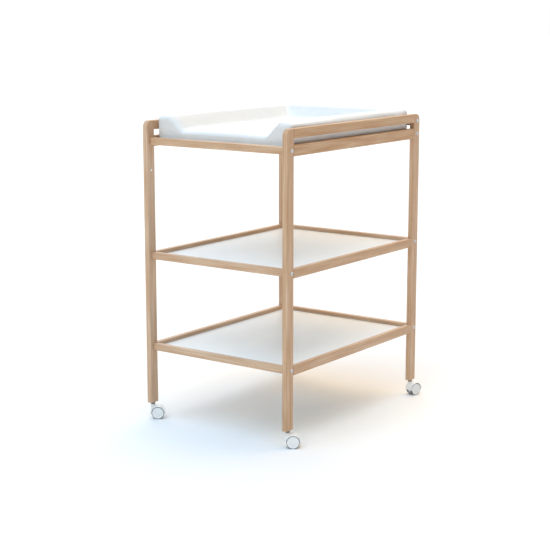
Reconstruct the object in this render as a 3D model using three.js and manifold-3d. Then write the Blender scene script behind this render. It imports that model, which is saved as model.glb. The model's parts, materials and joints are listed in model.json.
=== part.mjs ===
// Changing table: a beech frame on four twin-wheel castors, with two shelves, a top tray
// and a padded mat. Millimetres, +Z up, +X to the user's right, the user stands at -Y.
// The origin is on the floor, under the middle of the frame.
import * as THREE from 'three';
import { mergeVertices } from 'three/addons/utils/BufferGeometryUtils.js';
import Module from 'manifold-3d';

const wasm = await Module();
wasm.setup();

// ---- Driving dimensions -------------------------------------------------------------

// Overall
const FRAME_WIDTH = 545;        // outer faces of the two side frames, X
const FRAME_DEPTH = 751;        // front face of the front posts to back face of the back ones, Y
const POST_LENGTH = 896;

// Side frames: posts and the rails between them, all flush on the outside
const POST_THICKNESS = 18;      // X
const POST_DEPTH = 34;          // Y
const POST_TOP_RADIUS = 20;     // rounded outer corner at the top of each post
const RAIL_THICKNESS = 18;      // X
const RAIL_HEIGHT = 28;         // upper, middle and low side rails
const TRAY_RAIL_HEIGHT = 33;    // side rail that carries the top tray
const HAND_GAP = 19;            // slot between the upper side rail and the tray rail
const MID_SHELF_RISE = 486;     // foot of the posts to the top of the middle shelf's rails
const LOW_SHELF_RISE = 193.5;   // foot of the posts to the top of the low shelf's rails
const TENON_THICKNESS = 8;
const TENON_WALL = 1.2;         // wood left between a tenon's end and a screw hole
const TENON_SHOULDER = 5;       // rail left above and below its tenon

// Cross rails: they join the side frames
const CROSS_THICKNESS = 20;     // Y
const CROSS_HEIGHT = 22.5;
const BACK_UPPER_HEIGHT = 33;   // guard rail behind the mat
const BACK_UPPER_DROP = 5;      // its top below the top of the posts
const TRAY_CROSS_DROP = 5;      // tray cross rails below the top of the tray side rails
const FRONT_CROSS_INSET = 0.5;  // inner face of the front cross rails to the inner edge of the posts

// Panels: the two shelves and the floor of the tray
const PANEL_THICKNESS = 6;
const PANEL_DROP = 12.5;        // panel top below the top of its cross rails
const GROOVE_DEPTH = 6;

// Screws through the posts into the ends of the cross rails
const SCREW_RADIUS = 3;
const SCREW_LENGTH = 58;
const SCREW_HEAD_RADIUS = 6;
const SCREW_HEAD_HEIGHT = 2.4;
const SCREW_HEAD_SIDE = 0.84;   // straight side of the head, below its dome
const SCREW_HEAD_FLAT = 4.32;   // radius of the flat round the socket
const SCREW_TIP_RADIUS = 1.2;
const SCREW_SOCKET = 4;         // across the flats
const SCREW_SOCKET_DEPTH = 1.6;
const SCREW_TIP_ROOM = 2;       // hole left beyond the tip

// Mat
const MAT_SIDE_ROOM = 4.5;      // mat to each side rail
const MAT_FRONT_ROOM = 14.5;    // front cross rail to the mat
const MAT_BACK_ROOM = 11;       // mat to the back cross rails
const MAT_FLOOR_HEIGHT = 33;    // thickness where the child lies
const MAT_RIM_HEIGHT = 77;      // thickness of the raised sides and back
const MAT_RIM_WIDTH = 47;       // crest of the rim
const MAT_RIM_RUN = 43;         // width of the slope from the crest down to the floor
const MAT_FRONT_CORNER = 10;
const MAT_BACK_CORNER = 12;
const COVER_WALL = 1.2;
const COVER_OPENING_LENGTH = 380;
const COVER_OPENING_WIDTH = 5;

// Castors
const WHEEL_RADIUS = 20;
const WHEEL_WIDTH = 10.5;
const WHEEL_FACE_RADIUS = 17.8; // hard disc inside the soft tread
const WHEEL_INNER_CHAMFER = 1.2;
const WHEEL_OUTER_CHAMFER = 2;
const WHEEL_CAP_RISE = 0.6;     // cap in the middle of the disc, proud of it
const WHEEL_CAP_RADIUS = 8;
const WHEEL_CAP_FOOT = 10.7;    // radius where the cap meets the disc
const CASTOR_TRAIL = 16;        // swivel axis to wheel axis
const HOOD_WEB = 9;             // wall between the two wheels
const HOOD_WALL = 2.4;          // fender over the wheels
const FENDER_SKIRT = 2;         // fender below the height of the axle
const WEB_HUB_RADIUS = 12.4;    // web round the axle
const HOOD_BOSS_RADIUS = 7.5;
const HOOD_BOSS_RISE = 6;       // foot of the boss above the height of the axle
const HOOD_BOSS_DROP = 6.5;     // top of the boss below the foot of the post
const STEM_HEADROOM = 10.8;     // fender to the foot of the post
const AXLE_RADIUS = 2;
const AXLE_END_ROOM = 2.5;      // wheel left beyond the end of the axle
const STEM_RADIUS = 4;
const STEM_LENGTH = 36;         // inside the post
const STEM_CHAMFER = 1;
const STEM_COLLAR_RADIUS = 7;
const STEM_COLLAR_HEIGHT = 5;
const PIVOT_RADIUS = 3;
const PIVOT_LENGTH = 15;        // below the collar, inside the hood

// The way each castor stands, as the direction its wheels trail in, degrees from +X
const CASTOR_HEADINGS = { front_left: 35.8, front_right: 35.8, back_right: 72, back_left: 152 };

// Fits
const GAP = 0.3;                // between pieces that touch
const PANEL_ROOM = 0.5;         // panel edge to the bottom of its groove, and to the posts
const WHEEL_ROOM = 0.5;         // wheel to the web beside it
const FENDER_ROOM = 0.8;        // tread to the fender
const PIVOT_ROOM = 1;           // hole left below the pivot
const SOCKET_ROOM = 1;          // hole left above the stem
const OVERCUT = 1;              // how far a cutting solid runs past the face that it cuts

// Softened edges and facets
const EDGE = 2.5;
const CROSS_EDGE = 4;
const EDGE_STEPS = 2;
const POST_TOP_STEPS = 6;
const MAT_CORNER_STEPS = 5;
const ROUND_SIDES = 12;
const BOSS_SIDES = 16;
const WHEEL_SIDES = 24;
const HOOD_STEPS = 12;

// ---- Places that follow from the dimensions ------------------------------------------

// Floor to the foot of a post
const CASTOR_HEIGHT = 2 * WHEEL_RADIUS + FENDER_ROOM + HOOD_WALL + STEM_HEADROOM;
const TOP = CASTOR_HEIGHT + POST_LENGTH;
const MID_SHELF_TOP = CASTOR_HEIGHT + MID_SHELF_RISE;
const LOW_SHELF_TOP = CASTOR_HEIGHT + LOW_SHELF_RISE;
const SIDE = FRAME_WIDTH / 2;                  // outer face of a side frame
const INNER_SIDE = SIDE - POST_THICKNESS;      // inner face of a post
const END = FRAME_DEPTH / 2;                   // outer face of a post, front or back
const INNER_END = END - POST_DEPTH;            // face of a post that a side rail butts against
const TRAY_RAIL_TOP = TOP - RAIL_HEIGHT - HAND_GAP;
const TRAY_CROSS_TOP = TRAY_RAIL_TOP - TRAY_CROSS_DROP;
const POST_MIDDLE = END - POST_DEPTH / 2;      // castors and back cross rails are centred on the posts
const TRAY_FRONT = INNER_END + FRONT_CROSS_INSET;           // inner face of the front cross rails
const TRAY_BACK = POST_MIDDLE - CROSS_THICKNESS / 2;        // inner face of the back cross rails
const TRAY_PANEL = TRAY_CROSS_TOP - PANEL_DROP;
const MID_PANEL = MID_SHELF_TOP - PANEL_DROP;
const LOW_PANEL = LOW_SHELF_TOP - PANEL_DROP;
const HOLE_RADIUS = SCREW_RADIUS + GAP;
const TENON_LENGTH = FRONT_CROSS_INSET + CROSS_THICKNESS / 2 - HOLE_RADIUS - TENON_WALL;
const HOOD_TOP = CASTOR_HEIGHT - HOOD_BOSS_DROP;
const HOOD_RADIUS = WHEEL_RADIUS + FENDER_ROOM + HOOD_WALL;
const HOOD_WIDTH = HOOD_WEB + 2 * (WHEEL_ROOM + WHEEL_WIDTH);

const SIDE_RAILS = [
  { name: 'upper', top: TOP, height: RAIL_HEIGHT },
  { name: 'tray', top: TRAY_RAIL_TOP, height: TRAY_RAIL_HEIGHT, panel: TRAY_PANEL },
  { name: 'mid', top: MID_SHELF_TOP, height: RAIL_HEIGHT, panel: MID_PANEL },
  { name: 'low', top: LOW_SHELF_TOP, height: RAIL_HEIGHT, panel: LOW_PANEL },
];

const CROSS_RAILS = [
  { name: 'tray_front', end: -1, top: TRAY_CROSS_TOP, height: CROSS_HEIGHT, panel: TRAY_PANEL },
  { name: 'tray_back', end: 1, top: TRAY_CROSS_TOP, height: CROSS_HEIGHT, panel: TRAY_PANEL },
  { name: 'upper_back', end: 1, top: TOP - BACK_UPPER_DROP, height: BACK_UPPER_HEIGHT },
  { name: 'mid_front', end: -1, top: MID_SHELF_TOP, height: CROSS_HEIGHT, panel: MID_PANEL },
  { name: 'mid_back', end: 1, top: MID_SHELF_TOP, height: CROSS_HEIGHT, panel: MID_PANEL },
  { name: 'low_front', end: -1, top: LOW_SHELF_TOP, height: CROSS_HEIGHT, panel: LOW_PANEL },
  { name: 'low_back', end: 1, top: LOW_SHELF_TOP, height: CROSS_HEIGHT, panel: LOW_PANEL },
];

const PANELS = { tray_floor: TRAY_PANEL, mid_shelf: MID_PANEL, low_shelf: LOW_PANEL };

const POSTS = [
  { name: 'front_left', side: -1, end: -1 },
  { name: 'front_right', side: 1, end: -1 },
  { name: 'back_left', side: -1, end: 1 },
  { name: 'back_right', side: 1, end: 1 },
];

// ---- Materials -----------------------------------------------------------------------

const BEECH = new THREE.MeshStandardMaterial({ color: 0xd3ae88, roughness: 0.55 });
const PANEL_WHITE = new THREE.MeshStandardMaterial({ color: 0xeef0f0, roughness: 0.45 });
const MAT_WHITE = new THREE.MeshStandardMaterial({ color: 0xf4f6f7, roughness: 0.4 });
const FOAM = new THREE.MeshStandardMaterial({ color: 0xe9e4c8, roughness: 0.95 });
const STEEL = new THREE.MeshStandardMaterial({ color: 0xc9c9c9, roughness: 0.3, metalness: 1 });
const HOOD_PLASTIC = new THREE.MeshStandardMaterial({ color: 0xe9eaea, roughness: 0.4 });
const WHEEL_PLASTIC = new THREE.MeshStandardMaterial({ color: 0xdfe1e2, roughness: 0.45 });

// ---- Shape helpers -------------------------------------------------------------------

// Turns that lay an extrusion, drawn in XY and grown along +Z, along another axis.
// Along x the outline is drawn as (y, z); along y it is drawn as (z, x).
const LAY = {
  x: new THREE.Matrix4().set(0, 0, 1, 0, 1, 0, 0, 0, 0, 1, 0, 0, 0, 0, 0, 1),
  y: new THREE.Matrix4().set(0, 1, 0, 0, 0, 0, 1, 0, 1, 0, 0, 0, 0, 0, 0, 1),
  z: new THREE.Matrix4(),
};

// A closed geometry as a solid that can be joined and cut.
function solid(geometry) {
  const bare = geometry.clone();
  bare.deleteAttribute('normal');
  bare.deleteAttribute('uv');
  const merged = mergeVertices(bare, 1e-4);
  return new wasm.Manifold(new wasm.Mesh({
    numProp: 3,
    vertProperties: new Float32Array(merged.attributes.position.array),
    triVerts: new Uint32Array(merged.index.array),
  }));
}

// A solid back as a geometry.
function geometryOf(manifold) {
  const mesh = manifold.getMesh();
  const geometry = new THREE.BufferGeometry();
  const place = new Float32Array(mesh.vertProperties);
  const corners = new Uint32Array(mesh.triVerts);
  geometry.setAttribute('position', new THREE.BufferAttribute(place, 3));
  geometry.setIndex(new THREE.BufferAttribute(corners, 1));
  return geometry;
}

// A box between two limits on each axis.
function block([x0, x1], [y0, y1], [z0, z1]) {
  const geometry = new THREE.BoxGeometry(x1 - x0, y1 - y0, z1 - z0);
  return geometry.translate((x0 + x1) / 2, (y0 + y1) / 2, (z0 + z1) / 2);
}

// A round bar or hole from one point along an axis.
function rod(radius, length, axis, [x, y, z], sides = ROUND_SIDES) {
  const geometry = new THREE.CylinderGeometry(radius, radius, length, sides);
  geometry.translate(0, length / 2, 0);
  if (axis === 'x') geometry.rotateZ(-Math.PI / 2);
  if (axis === 'z') geometry.rotateX(Math.PI / 2);
  return geometry.translate(x, y, z);
}

// Points of an arc about (u, v), from one angle to another.
function arc(u, v, radius, from, to, steps) {
  const points = [];
  for (let i = 0; i <= steps; i += 1) {
    const angle = from + ((to - from) * i) / steps;
    points.push(new THREE.Vector2(u + radius * Math.cos(angle), v + radius * Math.sin(angle)));
  }
  return points;
}

// A rectangle whose corner radii are given anticlockwise from the lower left.
function roundedOutline([u0, u1], [v0, v1], radii, steps) {
  const corners = [[u0, v0, 1, 1], [u1, v0, -1, 1], [u1, v1, -1, -1], [u0, v1, 1, -1]];
  return corners.flatMap(([u, v, du, dv], i) => {
    const start = Math.PI + (i * Math.PI) / 2;
    return arc(u + du * radii[i], v + dv * radii[i], radii[i], start, start + Math.PI / 2, steps);
  });
}

// An outline grown along an axis from one place on that axis to another.
function prism(points, along, [from, to]) {
  const options = { depth: to - from, bevelEnabled: false };
  const geometry = new THREE.ExtrudeGeometry(new THREE.Shape(points), options);
  return geometry.translate(0, 0, from).applyMatrix4(LAY[along]);
}

// A straight bar with softened edges, along x or y.
function bar(x, y, z, along, edge) {
  const radii = [edge, edge, edge, edge];
  const outline = along === 'x'
    ? roundedOutline(y, z, radii, EDGE_STEPS)
    : roundedOutline(z, x, radii, EDGE_STEPS);
  return prism(outline, along, along === 'x' ? x : y);
}

// A profile turned about the Y axis, listed from its lower end.
function turned(profile, sides) {
  const points = profile.map(([radius, along]) => new THREE.Vector2(radius, along));
  return new THREE.LatheGeometry(points, sides);
}

function named(name, geometry, material) {
  const mesh = new THREE.Mesh(geometry, material);
  mesh.name = name;
  return mesh;
}

// ---- Wooden frame --------------------------------------------------------------------

function tenonHeights(rail) {
  return [rail.top - rail.height + TENON_SHOULDER, rail.top - TENON_SHOULDER];
}

// Middle of a cross rail, front to back and in height.
function crossCentre(rail) {
  const y = rail.end < 0 ? -(TRAY_FRONT + CROSS_THICKNESS / 2) : POST_MIDDLE;
  return { y, z: rail.top - rail.height / 2 };
}

// Groove for a panel's edge, with running room above and below.
function panelSlot(top) {
  return [top - PANEL_THICKNESS - GAP, top + GAP];
}

// Post: outline in (y, z) with one rounded top corner, all edges eased.
function postBlank(post) {
  const [u, v] = [END - POST_TOP_RADIUS, TOP - POST_TOP_RADIUS];
  const top = arc(u, v, POST_TOP_RADIUS, 0, Math.PI / 2, POST_TOP_STEPS);
  const outline = [
    new THREE.Vector2(INNER_END, CASTOR_HEIGHT),
    new THREE.Vector2(END, CASTOR_HEIGHT),
    ...top,
    new THREE.Vector2(INNER_END, TOP),
  ].map((p) => new THREE.Vector2(p.x * post.end, p.y));
  const geometry = new THREE.ExtrudeGeometry(new THREE.Shape(outline), {
    depth: POST_THICKNESS - 2 * EDGE,
    bevelThickness: EDGE,
    bevelSize: EDGE,
    bevelOffset: -EDGE,
    bevelSegments: EDGE_STEPS,
  });
  const inner = post.side > 0 ? INNER_SIDE : -SIDE;
  return geometry.translate(0, 0, inner + EDGE).applyMatrix4(LAY.x);
}

// Post with its mortises, screw holes and castor socket.
function postGeometry(post) {
  let body = solid(postBlank(post));
  const midX = post.side * (SIDE - POST_THICKNESS / 2);
  for (const rail of SIDE_RAILS) {
    const [low, high] = tenonHeights(rail);
    const half = TENON_THICKNESS / 2 + GAP;
    const depth = [INNER_END - OVERCUT, INNER_END + TENON_LENGTH + GAP].map((y) => y * post.end);
    depth.sort((a, b) => a - b);
    body = body.subtract(solid(block([midX - half, midX + half], depth, [low - GAP, high + GAP])));
  }
  for (const rail of CROSS_RAILS.filter((r) => r.end === post.end)) {
    const { y, z } = crossCentre(rail);
    const start = midX - POST_THICKNESS;
    body = body.subtract(solid(rod(HOLE_RADIUS, 2 * POST_THICKNESS, 'x', [start, y, z])));
  }
  const foot = [midX, post.end * POST_MIDDLE, CASTOR_HEIGHT - OVERCUT];
  const socket = rod(STEM_RADIUS + GAP, OVERCUT + STEM_LENGTH + SOCKET_ROOM, 'z', foot);
  return geometryOf(body.subtract(solid(socket)));
}

// Side rail with a stub tenon at each end and a groove for a panel.
function sideRailGeometry(rail, side) {
  const length = INNER_END - GAP;
  const faces = [side * (SIDE - RAIL_THICKNESS), side * SIDE].sort((a, b) => a - b);
  const heights = [rail.top - rail.height, rail.top];
  let body = solid(bar(faces, [-length, length], heights, 'y', EDGE));
  const midX = side * (SIDE - POST_THICKNESS / 2);
  const cheeks = [midX - TENON_THICKNESS / 2, midX + TENON_THICKNESS / 2];
  const reach = INNER_END + TENON_LENGTH;
  body = body.add(solid(block(cheeks, [-reach, reach], tenonHeights(rail))));
  if (rail.panel) {
    const mouth = SIDE - RAIL_THICKNESS;
    const depth = [side * (mouth - OVERCUT), side * (mouth + GROOVE_DEPTH)].sort((a, b) => a - b);
    const run = [-length - OVERCUT, length + OVERCUT];
    body = body.subtract(solid(block(depth, run, panelSlot(rail.panel))));
  }
  return geometryOf(body);
}

// Cross rail with a screw hole in each end and a groove for a panel.
function crossRailGeometry(rail) {
  const { y, z } = crossCentre(rail);
  const length = INNER_SIDE - GAP;
  const depth = [y - CROSS_THICKNESS / 2, y + CROSS_THICKNESS / 2];
  let body = solid(bar([-length, length], depth, [rail.top - rail.height, rail.top], 'x', CROSS_EDGE));
  const holeEnd = SIDE - SCREW_LENGTH - SCREW_TIP_ROOM;
  const run = [-length - OVERCUT, length + OVERCUT];
  for (const start of [run[0], holeEnd]) {
    body = body.subtract(solid(rod(HOLE_RADIUS, run[1] - holeEnd, 'x', [start, y, z])));
  }
  if (rail.panel) {
    const mouth = y - (rail.end * CROSS_THICKNESS) / 2;
    const slot = [mouth - rail.end * OVERCUT, mouth + rail.end * GROOVE_DEPTH].sort((a, b) => a - b);
    body = body.subtract(solid(block(run, slot, panelSlot(rail.panel))));
  }
  return geometryOf(body);
}

// Panel held in the grooves, notched round the posts.
function panelGeometry(top) {
  const inGroove = GROOVE_DEPTH - PANEL_ROOM;
  const wide = SIDE - RAIL_THICKNESS + inGroove;
  const front = -TRAY_FRONT - inGroove;
  const back = TRAY_BACK + inGroove;
  const narrow = INNER_SIDE - PANEL_ROOM;
  const short = INNER_END - PANEL_ROOM;
  const outline = [
    [-narrow, front], [narrow, front], [narrow, -short], [wide, -short],
    [wide, short], [narrow, short], [narrow, back], [-narrow, back],
    [-narrow, short], [-wide, short], [-wide, -short], [-narrow, -short],
  ].map(([x, y]) => new THREE.Vector2(x, y));
  return prism(outline, 'z', [top - PANEL_THICKNESS, top]);
}

// Screw, turned about Y with its head at +Y and the underside of the head at 0.
function screwGeometry() {
  const shank = SCREW_LENGTH - SCREW_RADIUS;
  const blank = turned([
    [0, -SCREW_LENGTH], [SCREW_TIP_RADIUS, -SCREW_LENGTH], [SCREW_RADIUS, -shank], [SCREW_RADIUS, 0],
    [SCREW_HEAD_RADIUS, 0], [SCREW_HEAD_RADIUS, SCREW_HEAD_SIDE],
    [SCREW_HEAD_FLAT, SCREW_HEAD_HEIGHT], [0, SCREW_HEAD_HEIGHT],
  ], ROUND_SIDES);
  const corner = SCREW_SOCKET / Math.sqrt(3);
  const bottom = SCREW_HEAD_HEIGHT - SCREW_SOCKET_DEPTH;
  const socket = rod(corner, SCREW_SOCKET_DEPTH + OVERCUT, 'y', [0, bottom, 0], 6);
  return geometryOf(solid(blank).subtract(solid(socket)));
}

function buildFrame() {
  const frame = new THREE.Group();
  for (const post of POSTS) frame.add(named(`post_${post.name}`, postGeometry(post), BEECH));
  for (const rail of SIDE_RAILS) {
    frame.add(named(`side_rail_${rail.name}_left`, sideRailGeometry(rail, -1), BEECH));
    frame.add(named(`side_rail_${rail.name}_right`, sideRailGeometry(rail, 1), BEECH));
  }
  for (const rail of CROSS_RAILS) {
    frame.add(named(`cross_rail_${rail.name}`, crossRailGeometry(rail), BEECH));
  }
  for (const [name, top] of Object.entries(PANELS)) {
    frame.add(named(`${name}_panel`, panelGeometry(top), PANEL_WHITE));
  }
  return frame;
}

function buildScrews() {
  const screws = new THREE.Group();
  const geometry = screwGeometry();
  for (const rail of CROSS_RAILS) {
    const { y, z } = crossCentre(rail);
    for (const [name, side] of [['left', -1], ['right', 1]]) {
      const screw = named(`screw_${rail.name}_${name}`, geometry, STEEL);
      screw.position.set(side * (SIDE + GAP), y, z);
      screw.rotation.z = (-side * Math.PI) / 2;
      screws.add(screw);
    }
  }
  return screws;
}

// ---- Mat -----------------------------------------------------------------------------

// Height of the mat's underside above the floor.
const MAT_BOTTOM = TRAY_PANEL + GAP;
const MAT_FRONT = MAT_FRONT_ROOM - TRAY_FRONT;
const MAT_LENGTH = TRAY_BACK - MAT_BACK_ROOM - MAT_FRONT;
const MAT_WIDTH = 2 * (SIDE - RAIL_THICKNESS - MAT_SIDE_ROOM);
const RIM_RISE = MAT_RIM_HEIGHT - MAT_FLOOR_HEIGHT;

// A tapered hollow: a rectangle at the bottom that widens to another at the top.
function taperedBlock(lowX, lowY, lowZ, highX, highY, highZ) {
  const geometry = new THREE.BoxGeometry(1, 1, 1);
  const place = geometry.attributes.position;
  for (let i = 0; i < place.count; i += 1) {
    const up = place.getZ(i) > 0;
    const x = up ? highX : lowX;
    const y = up ? highY : lowY;
    place.setXYZ(i, x[place.getX(i) > 0 ? 1 : 0], y[place.getY(i) > 0 ? 1 : 0], up ? highZ : lowZ);
  }
  return geometry;
}

// The hollow the child lies in, open at the front, moved outwards by an inset.
function lyingHollow(inset) {
  const slope = MAT_RIM_RUN / RIM_RISE;
  const shift = inset * Math.hypot(1, slope);
  const low = MAT_BOTTOM + MAT_FLOOR_HEIGHT - inset;
  const rimTop = MAT_BOTTOM + MAT_RIM_HEIGHT;
  const high = rimTop + OVERCUT;
  const crest = MAT_WIDTH / 2 - MAT_RIM_WIDTH;
  const backCrest = MAT_FRONT + MAT_LENGTH - MAT_RIM_WIDTH;
  const grow = (z) => (z - rimTop) * slope + shift;
  const front = MAT_FRONT - OVERCUT;
  return taperedBlock(
    [-crest - grow(low), crest + grow(low)], [front, backCrest + grow(low)], low,
    [-crest - grow(high), crest + grow(high)], [front, backCrest + grow(high)], high,
  );
}

// The mat's outer shape, or the same shape shrunk inwards by an inset.
function matSolid(inset) {
  const half = MAT_WIDTH / 2 - inset;
  const depth = [MAT_FRONT + inset, MAT_FRONT + MAT_LENGTH - inset];
  const corners = [MAT_FRONT_CORNER, MAT_FRONT_CORNER, MAT_BACK_CORNER, MAT_BACK_CORNER];
  const radii = corners.map((radius) => radius - inset);
  const outline = roundedOutline([-half, half], depth, radii, MAT_CORNER_STEPS);
  const height = [MAT_BOTTOM + inset, MAT_BOTTOM + MAT_RIM_HEIGHT - inset];
  return solid(prism(outline, 'z', height)).subtract(solid(lyingHollow(inset)));
}

// Cover: a thin shell with the slit on its underside that the foam goes in through.
function buildMat() {
  const mat = new THREE.Group();
  const half = COVER_OPENING_LENGTH / 2;
  const slitY = MAT_FRONT + MAT_LENGTH / 2;
  const slit = block(
    [-half, half],
    [slitY - COVER_OPENING_WIDTH / 2, slitY + COVER_OPENING_WIDTH / 2],
    [MAT_BOTTOM - OVERCUT, MAT_BOTTOM + COVER_WALL + GAP],
  );
  const cover = matSolid(0).subtract(matSolid(COVER_WALL)).subtract(solid(slit));
  mat.add(named('mat_cover', geometryOf(cover), MAT_WHITE));
  mat.add(named('mat_core', geometryOf(matSolid(COVER_WALL + GAP)), FOAM));
  return mat;
}

// ---- Castors -------------------------------------------------------------------------
// A castor is built about its swivel axis, on the floor, with its wheels trailing along +X.

// Wheel, turned about Y: its inner face at 0, its outer face at WHEEL_WIDTH.
function wheelGeometry() {
  const w = WHEEL_WIDTH;
  const bore = AXLE_RADIUS + GAP;
  const face = WHEEL_FACE_RADIUS;
  const disc = w - WHEEL_CAP_RISE;
  const wheel = turned([
    [0, w - AXLE_END_ROOM + GAP], [bore, w - AXLE_END_ROOM + GAP], [bore, 0],
    [face, 0], [WHEEL_RADIUS, WHEEL_INNER_CHAMFER], [WHEEL_RADIUS, w - WHEEL_OUTER_CHAMFER],
    [face, disc], [WHEEL_CAP_FOOT, disc], [WHEEL_CAP_RADIUS, w], [0, w],
  ], WHEEL_SIDES);
  return wheel.rotateY(Math.PI / WHEEL_SIDES);
}

// Outline of the fender, seen along the axle: the half disc over the wheels.
function fenderOutline() {
  const low = WHEEL_RADIUS - FENDER_SKIRT;
  return [
    ...arc(CASTOR_TRAIL, WHEEL_RADIUS, HOOD_RADIUS, 0, Math.PI, HOOD_STEPS),
    new THREE.Vector2(CASTOR_TRAIL - HOOD_RADIUS, low),
    new THREE.Vector2(CASTOR_TRAIL + HOOD_RADIUS, low),
  ];
}

// Solid shape grown along Y from an outline in (x, z).
function acrossY(outline, half) {
  const swapped = outline.map((p) => new THREE.Vector2(p.y, p.x));
  return solid(prism(swapped, 'y', [-half, half]));
}

// Hood: fender, web between the wheels and the boss that holds the stem.
function hoodGeometry() {
  const webHalf = HOOD_WEB / 2;
  const well = WHEEL_RADIUS + FENDER_ROOM;
  const axle = [CASTOR_TRAIL, 0, WHEEL_RADIUS];
  let hood = acrossY(fenderOutline(), HOOD_WIDTH / 2);
  const bossFoot = WHEEL_RADIUS + HOOD_BOSS_RISE;
  hood = hood.add(solid(rod(HOOD_BOSS_RADIUS, HOOD_TOP - bossFoot, 'z', [0, 0, bossFoot], BOSS_SIDES)));
  for (const start of [webHalf, -webHalf - HOOD_WIDTH]) {
    hood = hood.subtract(solid(rod(well, HOOD_WIDTH, 'y', [axle[0], start, axle[2]], WHEEL_SIDES)));
  }
  const hub = rod(WEB_HUB_RADIUS, HOOD_WEB, 'y', [axle[0], -webHalf, axle[2]], BOSS_SIDES);
  hood = hood.add(solid(hub));
  const holeStart = [axle[0], -webHalf - OVERCUT, axle[2]];
  hood = hood.subtract(solid(rod(AXLE_RADIUS + GAP, HOOD_WEB + 2 * OVERCUT, 'y', holeStart)));
  const pivotFoot = CASTOR_HEIGHT - GAP - STEM_COLLAR_HEIGHT - PIVOT_LENGTH - PIVOT_ROOM;
  hood = hood.subtract(solid(rod(PIVOT_RADIUS + GAP, HOOD_TOP, 'z', [0, 0, pivotFoot])));
  return geometryOf(hood);
}

// Stem: pin in the post, collar under it, pivot in the hood.
function stemGeometry() {
  const collarTop = CASTOR_HEIGHT - GAP;
  const collarFoot = collarTop - STEM_COLLAR_HEIGHT;
  const pivotEnd = collarFoot - PIVOT_LENGTH;
  const pinTop = CASTOR_HEIGHT + STEM_LENGTH;
  const stem = turned([
    [0, pivotEnd], [PIVOT_RADIUS, pivotEnd], [PIVOT_RADIUS, collarFoot],
    [STEM_COLLAR_RADIUS, collarFoot], [STEM_COLLAR_RADIUS, collarTop], [STEM_RADIUS, collarTop],
    [STEM_RADIUS, pinTop - STEM_CHAMFER], [STEM_RADIUS - STEM_CHAMFER, pinTop], [0, pinTop],
  ], ROUND_SIDES);
  return stem.rotateX(Math.PI / 2);
}

function buildCastor(post, shapes) {
  const castor = new THREE.Group();
  const prefix = `castor_${post.name}`;
  castor.add(named(`${prefix}_stem`, shapes.stem, STEEL));
  castor.add(named(`${prefix}_hood`, shapes.hood, HOOD_PLASTIC));
  castor.add(named(`${prefix}_axle`, shapes.axle, STEEL));
  for (const [name, hand] of [['wheel_a', -1], ['wheel_b', 1]]) {
    const wheel = named(`${prefix}_${name}`, shapes.wheel, WHEEL_PLASTIC);
    wheel.position.set(CASTOR_TRAIL, hand * (HOOD_WEB / 2 + WHEEL_ROOM), WHEEL_RADIUS);
    wheel.rotation.z = hand > 0 ? 0 : Math.PI;
    castor.add(wheel);
  }
  castor.position.set(post.side * (SIDE - POST_THICKNESS / 2), post.end * POST_MIDDLE, 0);
  castor.rotation.z = THREE.MathUtils.degToRad(CASTOR_HEADINGS[post.name]);
  return castor;
}

function buildCastors() {
  const castors = new THREE.Group();
  const axleHalf = HOOD_WIDTH / 2 - AXLE_END_ROOM;
  const shapes = {
    stem: stemGeometry(),
    hood: hoodGeometry(),
    axle: rod(AXLE_RADIUS, 2 * axleHalf, 'y', [CASTOR_TRAIL, -axleHalf, WHEEL_RADIUS]),
    wheel: wheelGeometry(),
  };
  for (const post of POSTS) castors.add(buildCastor(post, shapes));
  return castors;
}

// ---- Whole table ---------------------------------------------------------------------

const table = new THREE.Group();
table.add(buildFrame(), buildScrews(), buildMat(), buildCastors());

export default table;
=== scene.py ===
"""Changing table: a beech frame on twin-wheel castors, two white shelves and a padded mat.

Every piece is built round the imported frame, in metres, +Z up, with the user standing at -Y. The
frame gives places and overall sizes; the classes hold the small sizes that only the looks need.
"""
import json
import logging
import math
import random
from dataclasses import dataclass, field
from enum import Enum
from typing import Callable, Sequence

import bmesh
import bpy
import numpy as np
from mathutils import Matrix, Vector, noise


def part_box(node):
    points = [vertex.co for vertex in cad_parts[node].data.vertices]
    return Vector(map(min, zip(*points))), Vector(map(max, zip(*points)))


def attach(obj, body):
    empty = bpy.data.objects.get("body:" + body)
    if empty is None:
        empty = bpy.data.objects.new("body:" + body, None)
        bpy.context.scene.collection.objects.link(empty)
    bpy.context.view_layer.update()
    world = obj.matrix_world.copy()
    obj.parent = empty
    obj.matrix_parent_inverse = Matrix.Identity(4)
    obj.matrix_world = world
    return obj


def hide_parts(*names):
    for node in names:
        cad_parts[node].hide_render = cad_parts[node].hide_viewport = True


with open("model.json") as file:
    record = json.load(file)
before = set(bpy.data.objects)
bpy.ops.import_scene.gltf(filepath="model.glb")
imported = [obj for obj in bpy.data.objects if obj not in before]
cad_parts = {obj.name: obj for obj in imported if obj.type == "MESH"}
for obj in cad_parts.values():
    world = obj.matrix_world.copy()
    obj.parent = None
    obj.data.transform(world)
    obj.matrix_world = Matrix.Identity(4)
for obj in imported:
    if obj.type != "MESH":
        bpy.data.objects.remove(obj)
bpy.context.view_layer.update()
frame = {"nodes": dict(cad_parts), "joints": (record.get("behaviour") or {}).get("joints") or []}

log = logging.getLogger("changing_table")

MM = 0.001

Pair = tuple[float, float]
Radius = float | Callable[[float], float]
Shape = bmesh.types.BMesh
Object = bpy.types.Object
Material = bpy.types.Material
NodeTree = bpy.types.NodeTree
Socket = bpy.types.NodeSocket


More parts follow.
